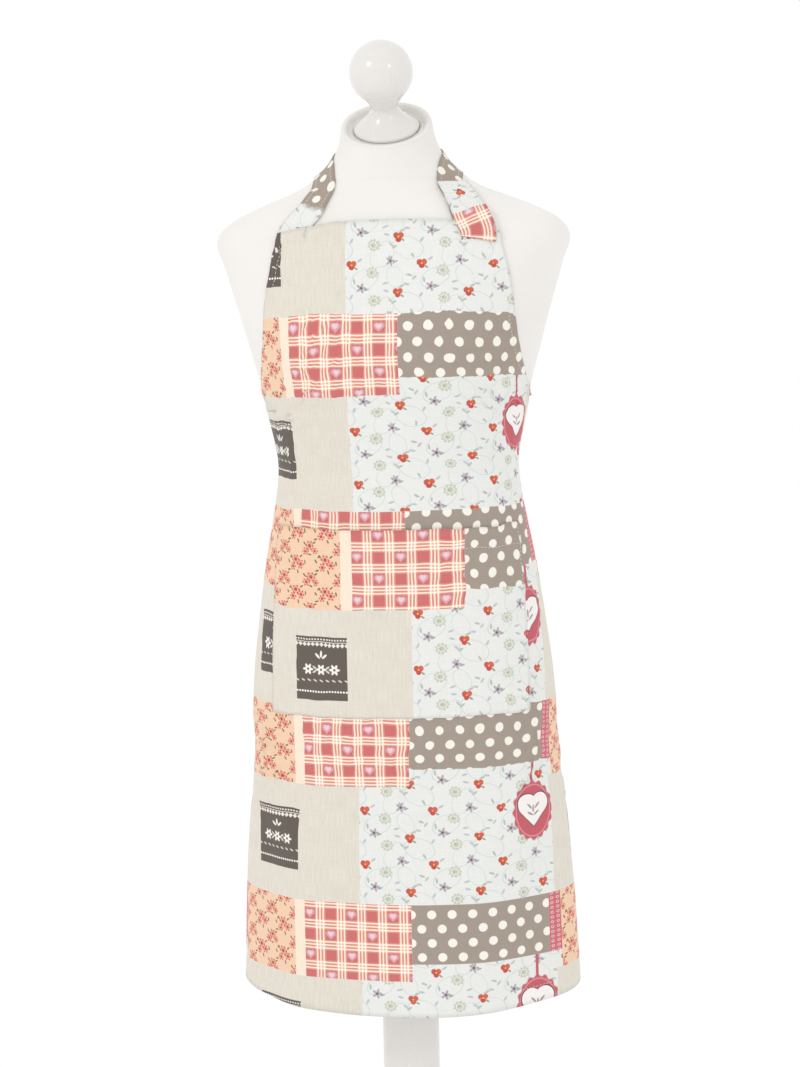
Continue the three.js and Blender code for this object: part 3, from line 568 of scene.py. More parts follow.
def linen_ground(tree, where):
    """A printed linen look: slubs and specks of two warm beiges."""
    at = node(tree, "ShaderNodeMapping", {0: where, "Scale": (0.8, 0.05, 1)}).outputs[0]
    streaks = node(tree, "ShaderNodeTexNoise", {"Vector": at, "Scale": 1, "Detail": 5}).outputs[0]
    strength = node(tree, "ShaderNodeMapRange", {0: streaks, 1: 0.35, 2: 0.65}).outputs[0]
    return node(
        tree,
        "ShaderNodeMix",
        {0: strength, 6: rgb("D9D3C6"), 7: rgb("E2DCD0")},
        data_type="RGBA",
    ).outputs[2]


def apron_layout(tree, where):
    floral = printed(tree, where, rgb("E5E6E2"), FLORAL, FLORAL_TILE)
    tagged = printed(tree, where, floral, moved(HEART_TAG, 134, 118), REPEAT)
    linen = linen_ground(tree, where)
    check = printed(tree, where, rgb("E9AE97"), moved(CHECK, -115, 0))
    dots = printed(tree, where, rgb("A3968B"), DOTS, (21, 30.6))
    peach = printed(tree, where, rgb("EFCBAE"), PEACH, ROSE_TILE)
    lace = printed(tree, where, rgb("CB7077"), moved(LACE, 150, 0))
    centred = node(
        tree, "ShaderNodeVectorMath", {0: where, 1: (-151, 145, 0)}, operation="SUBTRACT"
    ).outputs[0]
    centred = node(
        tree,
        "ShaderNodeVectorMath",
        {0: centred, 1: (190, 105, 1), 2: (-190, -105, -1)},
        operation="WRAP",
    ).outputs[0]
    label = printed(tree, centred, rgb("655C55"), LABEL)
    colour = tagged
    for cloth, left, top, right, bottom in [
        (linen, -222, 83, -54, 210),
        (label, -180, 112, -122, 178),
        (check, -115, 0, 0, 83),
        (dots, 0, 0, 150, 64),
        (lace, 150, 0, 165, 64),
        (peach, -215, 0, -127, 83),
        (rgb("F3E3CF"), -127, 0, -115, 83),
    ]:
        colour = patch(tree, where, colour, cloth, left, top, right, bottom, REPEAT)
    return colour


def strap_layout(tree, where):
    floral = printed(tree, where, rgb("E5E6E2"), FLORAL, FLORAL_TILE)
    dots = printed(tree, where, rgb("A3968B"), DOTS, (21, 30.6))
    return patch(tree, where, floral, dots, -50, 52, 50, 2000, None)


def tab_layout(tree, where):
    floral = printed(tree, where, rgb("E5E6E2"), FLORAL, FLORAL_TILE)
    check = printed(tree, where, rgb("E9AE97"), moved(CHECK, -4, 4))
    return patch(tree, where, floral, check, -30, -20, 30, 34, None)


def reverse_layout(tree, where):
    """The print's wrong side: mostly the cotton's own off-white."""
    blotches = node(tree, "ShaderNodeTexNoise", {"Vector": where, "Scale": 0.02}).outputs[0]
    return node(
        tree,
        "ShaderNodeMix",
        {0: blotches, 6: rgb("E6DFD6"), 7: rgb("DED6CF")},
        data_type="RGBA",
    ).outputs[2]


# Cotton jersey, knitted: soft and matt, with fine ribs that follow the bust. Its ribs are
# 0.7 mm apart, too fine to show, so they are drawn at 2 mm.
def cotton_jersey():
    material, tree, shader = new_material(
        "cotton_jersey_white", Roughness=0.95, Sheen_Weight=0.2, Sheen_Roughness=0.6,
        Specular_IOR_Level=0.2,
    )
    where = node(tree, "ShaderNodeUVMap", uv_map="flat_cut").outputs[0]
    rib = node(
        tree, "ShaderNodeTexWave", {"Vector": where, "Scale": 0.157}, bands_direction="X"
    ).outputs["Fac"]
    place = node(tree, "ShaderNodeTexCoord").outputs["Object"]
    cloud = node(
        tree, "ShaderNodeTexNoise", {"Vector": place, "Scale": 9, "Detail": 4}
    ).outputs[0]
    fuzz = node(
        tree, "ShaderNodeTexNoise", {"Vector": place, "Scale": 420, "Detail": 2}
    ).outputs[0]
    tone = node(tree, "ShaderNodeMapRange", {0: cloud, 1: 0.3, 2: 0.7}).outputs[0]
    colour = node(
        tree, "ShaderNodeMix", {0: tone, 6: rgb("E7E4DF"), 7: rgb("ECE9E5")}, data_type="RGBA"
    ).outputs[2]
    height = node(tree, "ShaderNodeMath", {0: rib, 1: fuzz}, operation="ADD").outputs[0]
    bump = node(
        tree, "ShaderNodeBump", {"Height": height, "Strength": 0.18, "Distance": 0.0003}
    ).outputs[0]
    tree.links.new(colour, shader.inputs["Base Color"])
    tree.links.new(bump, shader.inputs["Normal"])
    return material


def noisy(name, low, high, scale, stretch=(1, 1, 1), bump=0.1, rough=(0.3, 0.4), **values):
    """A finish with two tones, uneven gloss and a fine relief from one stretched noise."""
    material, tree, shader = new_material(name, **values)
    place = node(tree, "ShaderNodeTexCoord").outputs["Object"]
    at = node(tree, "ShaderNodeMapping", {0: place, "Scale": stretch}).outputs[0]
    grain = node(tree, "ShaderNodeTexNoise", {"Vector": at, "Scale": scale, "Detail": 4}).outputs[0]
    wide = node(tree, "ShaderNodeTexNoise", {"Vector": place, "Scale": 14}).outputs[0]
    tone = node(tree, "ShaderNodeMapRange", {0: grain, 1: 0.3, 2: 0.7}).outputs[0]
    colour = node(
        tree, "ShaderNodeMix", {0: tone, 6: rgb(low), 7: rgb(high)}, data_type="RGBA"
    ).outputs[2]
    gloss = node(
        tree, "ShaderNodeMapRange", {0: wide, 1: 0.3, 2: 0.7, 3: rough[0], 4: rough[1]}
    ).outputs[0]
    relief = node(
        tree, "ShaderNodeBump", {"Height": grain, "Strength": bump, "Distance": 0.0005}
    ).outputs[0]
    tree.links.new(colour, shader.inputs["Base Color"])
    tree.links.new(gloss, shader.inputs["Roughness"])
    tree.links.new(relief, shader.inputs["Normal"])
    return material


# Turned beech under sprayed white lacquer: glossy, with a faint orange peel about 3 mm across.
LACQUER = noisy(
    "lacquered_beech_white", "DFDCD8", "E2DFDB", 330, bump=0.02, rough=(0.16, 0.24),
    Coat_Weight=0.35, Coat_Roughness=0.08,
)
# Zinc-plated steel: grey metal, slightly mottled by the plating.
ZINC = noisy(
    "zinc_plated_steel", "A9ADB1", "C3C6C9", 240, bump=0.05, rough=(0.3, 0.45), Metallic=1
)
# Drawn and polished steel: fine lines along the tube.
POLISHED = noisy(
    "polished_steel", "B4B6B8", "CFD1D2", 500, stretch=(1, 1, 0.03), bump=0.03,
    rough=(0.16, 0.26), Metallic=1,
)
# Moulded black nylon: fine spark-eroded texture, half matt.
NYLON = noisy("moulded_nylon_black", "1D1D1E", "2B2B2C", 900, bump=0.25, rough=(0.45, 0.55))
# Moulded natural rubber: dull dark grey with a bloom.
RUBBER = noisy("moulded_rubber_grey", "303030", "3D3C3B", 500, bump=0.3, rough=(0.8, 0.92))
# Birch plywood, sawn and sanded: plies about 1.5 mm thick show at the edge.
PLYWOOD = noisy(
    "birch_plywood", "B98F5F", "DDBD8D", 60, stretch=(0.25, 0.25, 11), bump=0.15,
    rough=(0.55, 0.7),
)
# Moulded glass-fibre shell: pale and rough, with the mat's strands showing faintly.
GLASS_FIBRE = noisy(
    "moulded_glass_fibre", "CFCABF", "DEDAD0", 130, stretch=(1, 2.5, 1), bump=0.4,
    rough=(0.6, 0.75),
)
# Spun cotton thread: pale, with a soft twist.
THREAD = noisy("cotton_thread", "E4DFD4", "F2EFE7", 900, bump=0.3, rough=(0.8, 0.9))
APRON_PRINT = printed_cotton("printed_cotton_patchwork", apron_layout)
STRAP_PRINT = printed_cotton("printed_cotton_strap", strap_layout)
TAB_PRINT = printed_cotton("printed_cotton_tab", tab_layout)
REVERSE = printed_cotton("printed_cotton_wrong_side", reverse_layout)
JERSEY = cotton_jersey()

# ---------------------------------------------------------------- making pieces


def new_piece(name, bm, materials, body, replaced=(), smooth=True):
    mesh = bpy.data.meshes.new(name)
    bm.to_mesh(mesh)
    bm.free()
    piece = bpy.data.objects.new(name, mesh)
    bpy.context.scene.collection.objects.link(piece)
    for material in materials:
        mesh.materials.append(material)
    mesh.polygons.foreach_set("use_smooth", [smooth] * len(mesh.polygons))
    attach(piece, body)
    if replaced:
        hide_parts(*replaced)
    return piece


def solidify(piece, thickness, offset=1):
    """Gives a sheet its thickness. Its wrong side takes the piece's second material."""
    made = piece.modifiers.new("thickness", "SOLIDIFY")
    made.thickness = thickness * MM
    made.offset = offset
    made.material_offset = 1 if len(piece.data.materials) > 1 else 0
    made.material_offset_rim = 0


def sheet_mesh(columns, rows, place):
    """A grid of cloth. place(across, down) gives a vertex's point, flat place and edge
    distance, where across runs from -1 to 1 and down from 0 to 1."""
    bm = bmesh.new()
    bmesh.ops.create_grid(bm, x_segments=columns, y_segments=rows, size=1)
    flat_cut = bm.loops.layers.uv.new("flat_cut")
    edge_mm = bm.verts.layers.float.new("edge_mm")
    flats, grid = {}, {}
    for vertex in bm.verts:
        column = round((vertex.co.x + 1) / 2 * columns)
        row = round((1 - vertex.co.y) / 2 * rows)
        point, flat, edge = place(2 * column / columns - 1, row / rows)
        vertex.co = point
        vertex[edge_mm] = edge
        flats[vertex.index] = flat
        grid[row, column] = vertex.index
    for face in bm.faces:
        for loop in face.loops:
            loop[flat_cut].uv = flats[loop.vert.index]
    return bm, grid


def turned(profile, steps=64):
    """A solid turned about the post's axis from [radius, height] points in millimetres."""
    bm = bmesh.new()
    chain = [bm.verts.new((r * MM, 0, z * MM)) for r, z in profile]
    edges = [bm.edges.new(pair) for pair in zip(chain, chain[1:])]
    bmesh.ops.spin(
        bm, geom=chain + edges, cent=(0, 0, 0), axis=(0, 0, 1), angle=2 * math.pi,
        steps=steps, use_merge=True,
    )
    bmesh.ops.remove_doubles(bm, verts=bm.verts, dist=0.00001)
    bmesh.ops.dissolve_degenerate(bm, edges=bm.edges, dist=0.000005)
    bmesh.ops.recalc_face_normals(bm, faces=bm.faces)
    return bm


def rounded(profile, radius=1.0, steps=3):
    """The same profile with its corners rounded."""
    points = [Vector(p) for p in profile]
    made = [points[0]]
    for before, corner, after in zip(points, points[1:], points[2:]):
        come, leave = before - corner, after - corner
        reach = min(radius, come.length * 0.45, leave.length * 0.45)
        start, end = corner + come.normalized() * reach, corner + leave.normalized() * reach
        for i in range(steps + 1):
            t = i / steps
            made.append(start * (1 - t) ** 2 + corner * 2 * t * (1 - t) + end * t * t)
    return made + [points[-1]]


def moved_mesh(bm, matrix):
    bmesh.ops.transform(bm, matrix=matrix, verts=bm.verts)
    return bm


TO_POLE = Matrix.Translation(POLE)

# ---------------------------------------------------------------- stand

column_profile = rounded(
    [
        (0, 58), (14, 60), (26, 70), (40, 78), (40, 234), (35, 240), (27.5, 250), (35.5, 260),
        (35.5, 268), (32.5, 274), (31.5, 300), (31.5, 597), (29.5, 600), (14.4, 600),
        (14.4, 246), (0, 246),
    ],
    4,
)
new_piece(
    "column_turned", moved_mesh(turned(column_profile, 72), TO_POLE), [LACQUER], "base",
    ["column"],
)


def bezier(a, b, c, d, steps):
    a, b, c, d = Vector(a), Vector(b), Vector(c), Vector(d)
    return [
        a * (1 - t) ** 3 + b * 3 * t * (1 - t) ** 2 + c * 3 * t * t * (1 - t) + d * t**3
        for t in (i / steps for i in range(1, steps + 1))
    ]


def leg_mesh():
    """A curved tripod leg, sawn from board and rounded over along its edges."""
    outline = [Vector((36.3, 110)), Vector((42, 110))]
    outline += bezier((42, 110), (98, 102), (192, 28.3), (252, 4.3), 22)
    outline += [Vector((275, 4.3)), Vector((275, 16.3))]
    outline += bezier((275, 16.3), (225, 48.3), (165, 74.3), (120.3, 155), 22)
    outline += bezier((120.3, 155), (98.3, 191), (70.3, 205), (36.3, 205), 10)
    bm = bmesh.new()
    ring = [bm.verts.new((p.x * MM, -LEG_THICKNESS / 2 * MM, p.y * MM)) for p in outline]
    side = bm.faces.new(ring)
    made = bmesh.ops.extrude_face_region(bm, geom=[side])["geom"]
    far = [v for v in made if isinstance(v, bmesh.types.BMVert)]
    bmesh.ops.translate(bm, vec=(0, LEG_THICKNESS * MM, 0), verts=far)
    bmesh.ops.recalc_face_normals(bm, faces=bm.faces)
    sides = [f for f in bm.faces if len(f.verts) > 4]
    edges = [e for e in bm.edges if any(f in sides for f in e.link_faces)]
    bmesh.ops.bevel(
        bm, geom=edges, offset=4 * MM, segments=4, profile=0.5, affect="EDGES", material=-1,
        clamp_overlap=True,
    )
    return bm


pad_profile = rounded([(0, 0), (14, 0), (14, 4), (0, 4)], 1)
for leg_side, leg_angle in LEG_ANGLES.items():
    spoke = TO_POLE @ Matrix.Rotation(leg_angle * DEGREE, 4, "Z")
    leg = new_piece(
        f"leg_{leg_side}_shaped", moved_mesh(leg_mesh(), spoke), [LACQUER], "base",
        [f"leg_{leg_side}"],
    )
    leg.data.set_sharp_from_angle(angle=50 * DEGREE)
    at_pad = spoke @ Matrix.Translation((LEG_REACH * MM, 0, 0))
    new_piece(
        f"foot_pad_{leg_side}_moulded", moved_mesh(turned(pad_profile, 40), at_pad), [RUBBER],
        "base", [f"foot_pad_{leg_side}"],
    )

collar_profile = rounded(
    [
        (14.4, 600.3), (29.5, 600.3), (29.5, 604.3), (22, 604.3), (22, 632.3), (20, 634.3),
        (14.4, 634.3), (14.4, 600.3),
    ],
    0.8,
)
new_piece(
    "post_collar_turned", moved_mesh(turned(collar_profile), TO_POLE), [ZINC], "base",
    ["post_collar"],
)
tube_profile = rounded([(12, 330), (14, 330), (14, 790), (12, 790), (12, 330)], 0.4, 2)
new_piece(
    "post_tube_polished", moved_mesh(turned(tube_profile), TO_POLE), [POLISHED], "post",
    ["post_tube"],
)


def knob_mesh():
    """A moulded knob with eight finger grooves, made about its own axis."""
    bm = bmesh.new()
    bmesh.ops.create_circle(bm, cap_ends=True, segments=96, radius=15 * MM)
    for vertex in bm.verts:
        angle = math.atan2(vertex.co.y, vertex.co.x)
        groove = max(0, math.cos(8 * angle)) ** 2
        vertex.co *= (15 - 1.7 * groove) / 15
    made = bmesh.ops.extrude_face_region(bm, geom=bm.faces[:])["geom"]
    top = [v for v in made if isinstance(v, bmesh.types.BMVert)]
    bmesh.ops.translate(bm, vec=(0, 0, 18 * MM), verts=top)
    bmesh.ops.recalc_face_normals(bm, faces=bm.faces)
    caps = [f for f in bm.faces if len(f.verts) > 4]
    edges = [e for e in bm.edges if any(f in caps for f in e.link_faces)]
    bmesh.ops.bevel(
        bm, geom=edges, offset=2.5 * MM, segments=4, profile=0.5, affect="EDGES", material=-1,
        clamp_overlap=True,
    )
    return bm


to_lock = (
    TO_POLE
    @ Matrix.Translation((0, 0, 619.3 * MM))
    @ Matrix.Rotation(-math.pi / 2, 4, "X")
    @ Matrix.Translation((0, 0, 23.5 * MM))
)
knob = new_piece(
    "lock_knob_moulded", moved_mesh(knob_mesh(), to_lock), [NYLON], "lock",
    ["lock_knob"],
)
knob.data.set_sharp_from_angle(angle=60 * DEGREE)

# ---------------------------------------------------------------- finial

TO_NECK = TO_POLE @ Matrix.Translation(NECK_CENTRE * MM) @ Matrix.Rotation(NECK_TILT, 4, "X")
BALL = 33
BALL_HEIGHT = 64
cone = through(
    [(31.8, 5.4), (26.5, 9.6), (20.4, 15), (16, 20.4), (14, 25), (15.2, 29.6), (20.8, 38.4)], 30
)
ball = [
    Vector((BALL * math.cos(a * DEGREE), BALL_HEIGHT + BALL * math.sin(a * DEGREE)))
    for a in range(-50, 91, 5)
]
finial_profile = (
    rounded([(0, 0), (34.5, 0), (34.5, 3.4), (32.2, 5.2)], 1) + cone[1:] + ball[1:-1]
    + [Vector((0, BALL_HEIGHT + BALL))]
)
above_cap = TO_NECK @ Matrix.Translation((0, 0, CAP_THICKNESS * MM))
finial = new_piece(
    "finial_turned", moved_mesh(turned(finial_profile, 72), above_cap), [LACQUER], "finial",
    ["finial"],
)
finial.data.set_sharp_from_angle(angle=65 * DEGREE)

# ---------------------------------------------------------------- jersey

JERSEY_COLUMNS = 144
NECK_FOLD = 1411
FINIAL_FOOT = 34.6


def lift_above_cut(point):
    return (point - NECK_CENTRE).dot(NECK_AXIS)


def height_at_lift(angle, lift):
    """Height at which the bust's surface stands this far above the neck's slanted cut."""
    low, high = 1380.0, 1508.0
    for _ in range(24):
        middle = (low + high) / 2
        if lift_above_cut(surface(BUST, angle, middle)) < lift:
            low = middle
        else:
            high = middle
    return low


def jersey_levels():
    """Rows up the bust, closer together where it turns fast: height and share of the neck."""
    rows = [(BUST_BOTTOM + 12 * i, 0) for i in range(50)]
    rows += [(z, 0) for z in range(1322, 1396, 6)]
    rows += [(z, 0) for z in (1396, 1400, 1404)]
    return rows + [(1404, i / 24) for i in range(1, 25)]


def jersey_point(angle, z, share):
    if share:
        z = z + (height_at_lift(angle, CAP_THICKNESS + 1.5) - z) * share
    fold = smooth_step(NECK_FOLD - 1.5, NECK_FOLD + 1.5, z) * (
        1 - smooth_step(NECK_FOLD + 4, NECK_FOLD + 26, z)
    )
    soft = noise.noise(Vector((math.cos(angle), math.sin(angle), z / 90)) * 2.2)
    return off_surface(BUST, angle, z, JERSEY_OUT + 1.1 * fold + 0.35 * soft)


def jersey_mesh():
    """A knitted tube pulled over the bust, rolled over at the neck and tucked in below."""
    levels = jersey_levels()
    tuck_under = [(-14, 726.5), (-6, 723.6), (-1.5, 723.2), (0.8, 723.9)]
    rim = [(0.6, 3.2), (-1.2, 4.1), (-3.4, 4.0), (-5.4, 2.6), (-7, 0.8), (-8.6, 0.35), (None, 0.3)]
    bm = bmesh.new()
    count = len(tuck_under) + len(levels) + len(rim)
    chain = [bm.verts.new((1, 0, i)) for i in range(count)]
    edges = [bm.edges.new(pair) for pair in zip(chain, chain[1:])]
    bmesh.ops.spin(
        bm, geom=chain + edges, cent=(0, 0, 0), axis=(0, 0, 1), angle=2 * math.pi,
        steps=JERSEY_COLUMNS, use_merge=True,
    )
    flat_cut = bm.loops.layers.uv.new("flat_cut")
    for face in bm.faces:
        middle = face.calc_center_median()
        around = math.atan2(middle.x, -middle.y)
        for loop in face.loops:
            own = math.atan2(loop.vert.co.x, -loop.vert.co.y)
            if own - around > math.pi:
                own -= 2 * math.pi
            if around - own > math.pi:
                own += 2 * math.pi
            loop[flat_cut].uv = (own * 140, loop.vert.co.z * 8)
    for vertex in bm.verts:
        angle = math.atan2(vertex.co.x, -vertex.co.y)
        row = round(vertex.co.z)
        if row < len(tuck_under):
            offset, z = tuck_under[row]
            point = off_surface(BUST, angle, BUST_BOTTOM, offset)
            point.z = z
        elif row < len(tuck_under) + len(levels):
            point = jersey_point(angle, *levels[row - len(tuck_under)])
        else:
            offset, lift = rim[row - len(tuck_under) - len(levels)]
            top = height_at_lift(angle, CAP_THICKNESS)
            point = off_surface(BUST, angle, top, offset or 0)
            point += NECK_AXIS * (CAP_THICKNESS + lift - lift_above_cut(point))
            if offset is None:  # the last row lies round the finial's foot
                foot = NECK_CENTRE + NECK_AXIS * (CAP_THICKNESS + lift)
                point = foot + (point - foot).normalized() * FINIAL_FOOT
            else:  # the roll stands higher at the nape
                point += NECK_AXIS * (1 - math.cos(angle)) * min(lift, 2.4)
        vertex.co = placed(point)
    bmesh.ops.recalc_face_normals(bm, faces=bm.faces)
    lowest = min(bm.faces, key=lambda face: abs(face.calc_center_median().z - 1))
    if lowest.normal.dot(lowest.calc_center_median() - POLE) < 0:
        bmesh.ops.reverse_faces(bm, faces=bm.faces)  # an open tube may come out inside out
    return bm


jersey = new_piece(
    "jersey_knitted", jersey_mesh(), [JERSEY], "torso", ["jersey_cover"]
)
solidify(jersey, 0.9, -1)
jersey_tree = BVHTree.FromPolygons(
    [v.co.copy() for v in jersey.data.vertices], [list(p.vertices) for p in jersey.data.polygons]
)

# ---------------------------------------------------------------- apron's body

PRINT_LEFT = 12  # the check and dots meet this far right of the apron's middle
PRINT_ROW = 1067  # height of a row's top
HEM_SIDE_RISE = 14  # the hem swings up to the sides
BODY_COLUMNS = 92
BODY_ROWS = 124


def body_levels():
    """Rows down the apron: closer together at the armhole's foot."""
    rows = [BIB_TOP - 6.5 * i for i in range(27)]
    rows += [SIDE_CORNER + 20.5 * (1 - (i + 1) / 8) for i in range(8)]
    left = BODY_ROWS + 1 - len(rows)
    return rows + [SIDE_CORNER + (HEM - SIDE_CORNER) * (i + 1) / left for i in range(left)]


LEVELS = body_levels()


def half_width(z):
    return APRON_HALF_WIDTH if z < SIDE_CORNER else table_value(ARMHOLE, 1, min(z, BIB_TOP))


def body_flat(across, z):
    """A point of the flat cut: distance from the middle and height on the front."""
    rise = BIB_RISE * max(0, (z - BREAST_HEIGHT) / (BIB_TOP - BREAST_HEIGHT)) ** 2
    drop = HEM_DROP * max(0, (SIDE_CORNER - z) / (SIDE_CORNER - HEM)) ** 2
    side_rise = HEM_SIDE_RISE * smooth_step(760, HEM, z) * across * across
    return across * half_width(z), z + (rise - drop) * (1 - across * across) + side_rise


def folds(u, z):
    """How far the hanging cloth stands off: soft flutes to the hem, creases at the waist."""
    low = smooth_step(900, HEM, z)
    flutes = math.sin(u / 27 + 0.8 * math.sin(z / 160)) + 0.6 * math.sin(u / 15.5 + 2.1)
    out = low * (4.2 + 2.6 * flutes) - 4 * low * smooth_step(60, 170, -u)
    waist = math.exp(-(((z - 1125) / 55) ** 2))
    for middle, depth in ((-116, 4.2), (-138, 3.4), (112, 2.8), (136, 3.2), (30, 0.9)):
        lean = middle + (z - 1125) * 0.10
        out += depth * waist * math.exp(-(((u - lean) / 7.5) ** 2))
    out += 0.5 * noise.noise(Vector((u / 45, z / 60, 3)))
    return out


def body_offset(u, z):
    lift = 2.2 * smooth_step(1312, 1345, z)  # room for the straps sewn behind the bib
    return CLOTH_OUT + lift + max(folds(u, z), -0.4)


def body_point(u, z):
    angle = angle_across(z, u + APRON_SHIFT)
    return placed(off_surface(DRAPE, angle, z, body_offset(u, z), True))


def body_place(across, down):
    z = LEVELS[round(down * BODY_ROWS)]
    u, height = body_flat(across, z)
    edge = min(half_width(z) * (1 - abs(across)), BIB_TOP - z + 1.5, (z - HEM) * 0.55)
    flat = (u - PRINT_LEFT, down_front(height) - down_front(PRINT_ROW))
    return body_point(u, height), flat, edge


body_mesh, body_grid = sheet_mesh(BODY_COLUMNS, BODY_ROWS, body_place)
apron = new_piece(
    "apron_body_cotton", body_mesh, [APRON_PRINT, REVERSE], "torso",
    ["apron_body"],
)


MOST_SETTLING = 4.5 * MM
CLOTH_GAP = 1.5 * MM


def settle(piece, frames):
    """Lets the cloth hang from its straps and waist ties over the jersey."""
    held = piece.vertex_groups.new(name="held")
    for (row, column), index in body_grid.items():
        across = abs(2 * column / BODY_COLUMNS - 1)
        z = LEVELS[row]
        if across > 0.72 and z > BIB_TOP - 9:
            held.add([index], 1, "REPLACE")
        elif across > 0.93 and SIDE_CORNER - 28 < z < SIDE_CORNER + 1:
            held.add([index], 1, "REPLACE")
    bust = jersey.modifiers.new("bust", "COLLISION")
    jersey.collision.thickness_outer = 1.0 * MM
    jersey.collision.thickness_inner = 8 * MM
    jersey.collision.cloth_friction = 12
    hang = piece.modifiers.new("hang", "CLOTH")
    hang.settings.quality = 5
    hang.settings.mass = 0.0004
    hang.settings.vertex_group_mass = "held"
    hang.settings.tension_stiffness = 12
    hang.settings.compression_stiffness = 12
    hang.settings.shear_stiffness = 4
    hang.settings.bending_stiffness = 0.08
    hang.settings.air_damping = 5
    hang.settings.effector_weights.gravity = 0.25
    hang.collision_settings.distance_min = 0.5 * MM
    hang.collision_settings.collision_quality = 3
    hang.collision_settings.use_self_collision = False
    scene = bpy.context.scene
    hang.point_cache.frame_start = 1
    hang.point_cache.frame_end = frames
    before = [v.co.copy() for v in piece.data.vertices]
    for step in range(1, frames + 1):
        scene.frame_set(step)
    settled = piece.evaluated_get(bpy.context.evaluated_depsgraph_get())
    after = [v.co.copy() for v in settled.data.vertices]
    piece.modifiers.remove(hang)
    jersey.modifiers.remove(bust)
    scene.frame_set(1)
    for vertex, start, end in zip(piece.data.vertices, before, after):
        move = end - start
        if move.length > MOST_SETTLING:
            move *= MOST_SETTLING / move.length
        vertex.co = start + move
        near, normal, _, _ = jersey_tree.find_nearest(vertex.co)
        height = (vertex.co - near).dot(normal)
        if height < CLOTH_GAP:
            vertex.co += normal * (CLOTH_GAP - height)
    piece.data.update()
    piece.vertex_groups.remove(held)


settle(apron, 12)


def body_at(u, z):
    """A point and outward direction of the settled cloth, from its flat place."""
    row = next((i for i, level in enumerate(LEVELS) if level <= z), BODY_ROWS)
    row = max(row, 1)
    share_down = (LEVELS[row - 1] - z) / (LEVELS[row - 1] - LEVELS[row])
    share_down = min(max(share_down, 0), 1)
    column = (u / half_width(z) + 1) / 2 * BODY_COLUMNS
    left = min(max(int(column), 0), BODY_COLUMNS - 1)
    share = min(max(column - left, 0), 1)
    a, b, c, d = (
        apron.data.vertices[body_grid[r, k]].co
        for r, k in ((row - 1, left), (row - 1, left + 1), (row, left), (row, left + 1))
    )
    point = (a * (1 - share) + b * share) * (1 - share_down) + (
        c * (1 - share) + d * share
    ) * share_down
    normal = (b - a).cross(a - c).normalized()
    return point, normal


solidify(apron, CLOTH)

# ---------------------------------------------------------------- pocket

POCKET_PRINT_LEFT = 71


def pocket_place(across, down):
    u = across * POCKET_HALF_WIDTH
    z = POCKET_TOP - down * POCKET_HEIGHT
    point, normal = body_at(u, z)
    gape = 2.6 * (1 - across * across) * max(0, 1 - down * 3.2) ** 2
    fill = 1.2 * (1 - across**4) * math.sin(math.pi * min(down * 1.05, 1)) * 0.8
    drop = down * POCKET_HEIGHT
    edge = min(
        POCKET_HALF_WIDTH * (1 - abs(across)) + 5.5, POCKET_HEIGHT - drop + 5.5, drop * 0.38
    )
    lifted = point + normal * (CLOTH + 0.5 + gape + fill) * MM
    return lifted, (u - POCKET_PRINT_LEFT, drop), edge


pocket_mesh, pocket_grid = sheet_mesh(56, 40, pocket_place)
pocket = new_piece(
    "pocket_cotton", pocket_mesh, [APRON_PRINT, REVERSE], "torso", ["pocket"]
)
solidify(pocket, CLOTH)

# ---------------------------------------------------------------- straps and ties


def band_place(path, width, print_left=0, print_top=0):
    """Places for a flat band along { point, outward } steps, in metres."""
    lengths = [0.0]
    for (a, _), (b, _) in zip(path, path[1:]):
        lengths.append(lengths[-1] + (b - a).length / MM)

    def place(across, down):
        step = round(down * (len(path) - 1))
        point, out = path[step]
        before, after = path[max(step - 1, 0)][0], path[min(step + 1, len(path) - 1)][0]
        side = out.cross(after - before).normalized()
        u = across * width / 2
        flat = (u + print_left, lengths[step] + print_top)
        edge = width / 2 * (1 - abs(across)) + 5.6
        return point + side * u * MM, flat, edge

    return place, lengths[-1]


BAND_REACH = 20 * MM  # how near a band has to be to something to lie on it


def clear_of(bm, under):
    """Pushes a band out to at least the given gap from each thing it lies on."""
    for tree, gap in under:
        for vertex in bm.verts:
            near, normal, _, _ = tree.find_nearest(vertex.co, BAND_REACH)
            height = gap * MM if near is None else (vertex.co - near).dot(normal)
            if height < gap * MM:
                vertex.co += normal * (gap * MM - height)


def tree_of(piece):
    return BVHTree.FromPolygons(
        [v.co.copy() for v in piece.data.vertices], [list(p.vertices) for p in piece.data.polygons]
    )


def band_piece(name, path, width, materials, node_name, rests, under=(), **layout):
    place, length = band_place(path, width, **layout)
    bm, _ = sheet_mesh(6, len(path) - 1, place)
    if under:
        bm.normal_update()
        flat = [(v, v.co.copy(), v.normal.copy()) for v in bm.verts]
        for _ in range(4):
            clear_of(bm, under)
            bmesh.ops.smooth_vert(
                bm, verts=bm.verts, factor=0.5, use_axis_x=True, use_axis_y=True, use_axis_z=True
            )
            for vertex, start, normal in flat:  # the band keeps its width and length
                vertex.co = start + normal * (vertex.co - start).dot(normal)
        clear_of(bm, under)
    piece = new_piece(name, bm, materials, "torso", [node_name])
    solidify(piece, 1.1)
    return piece


def route_on_bust(points, offset, steps):
    """Steps over the bust through (degrees, height) points."""
    radian = 100
    curve = through([(a * DEGREE * radian, z) for a, z in points], steps)
    return [
        (placed(off_surface(BUST, p.x / radian, p.y, offset)), outward(BUST, p.x / radian, p.y))
        for p in curve
    ]


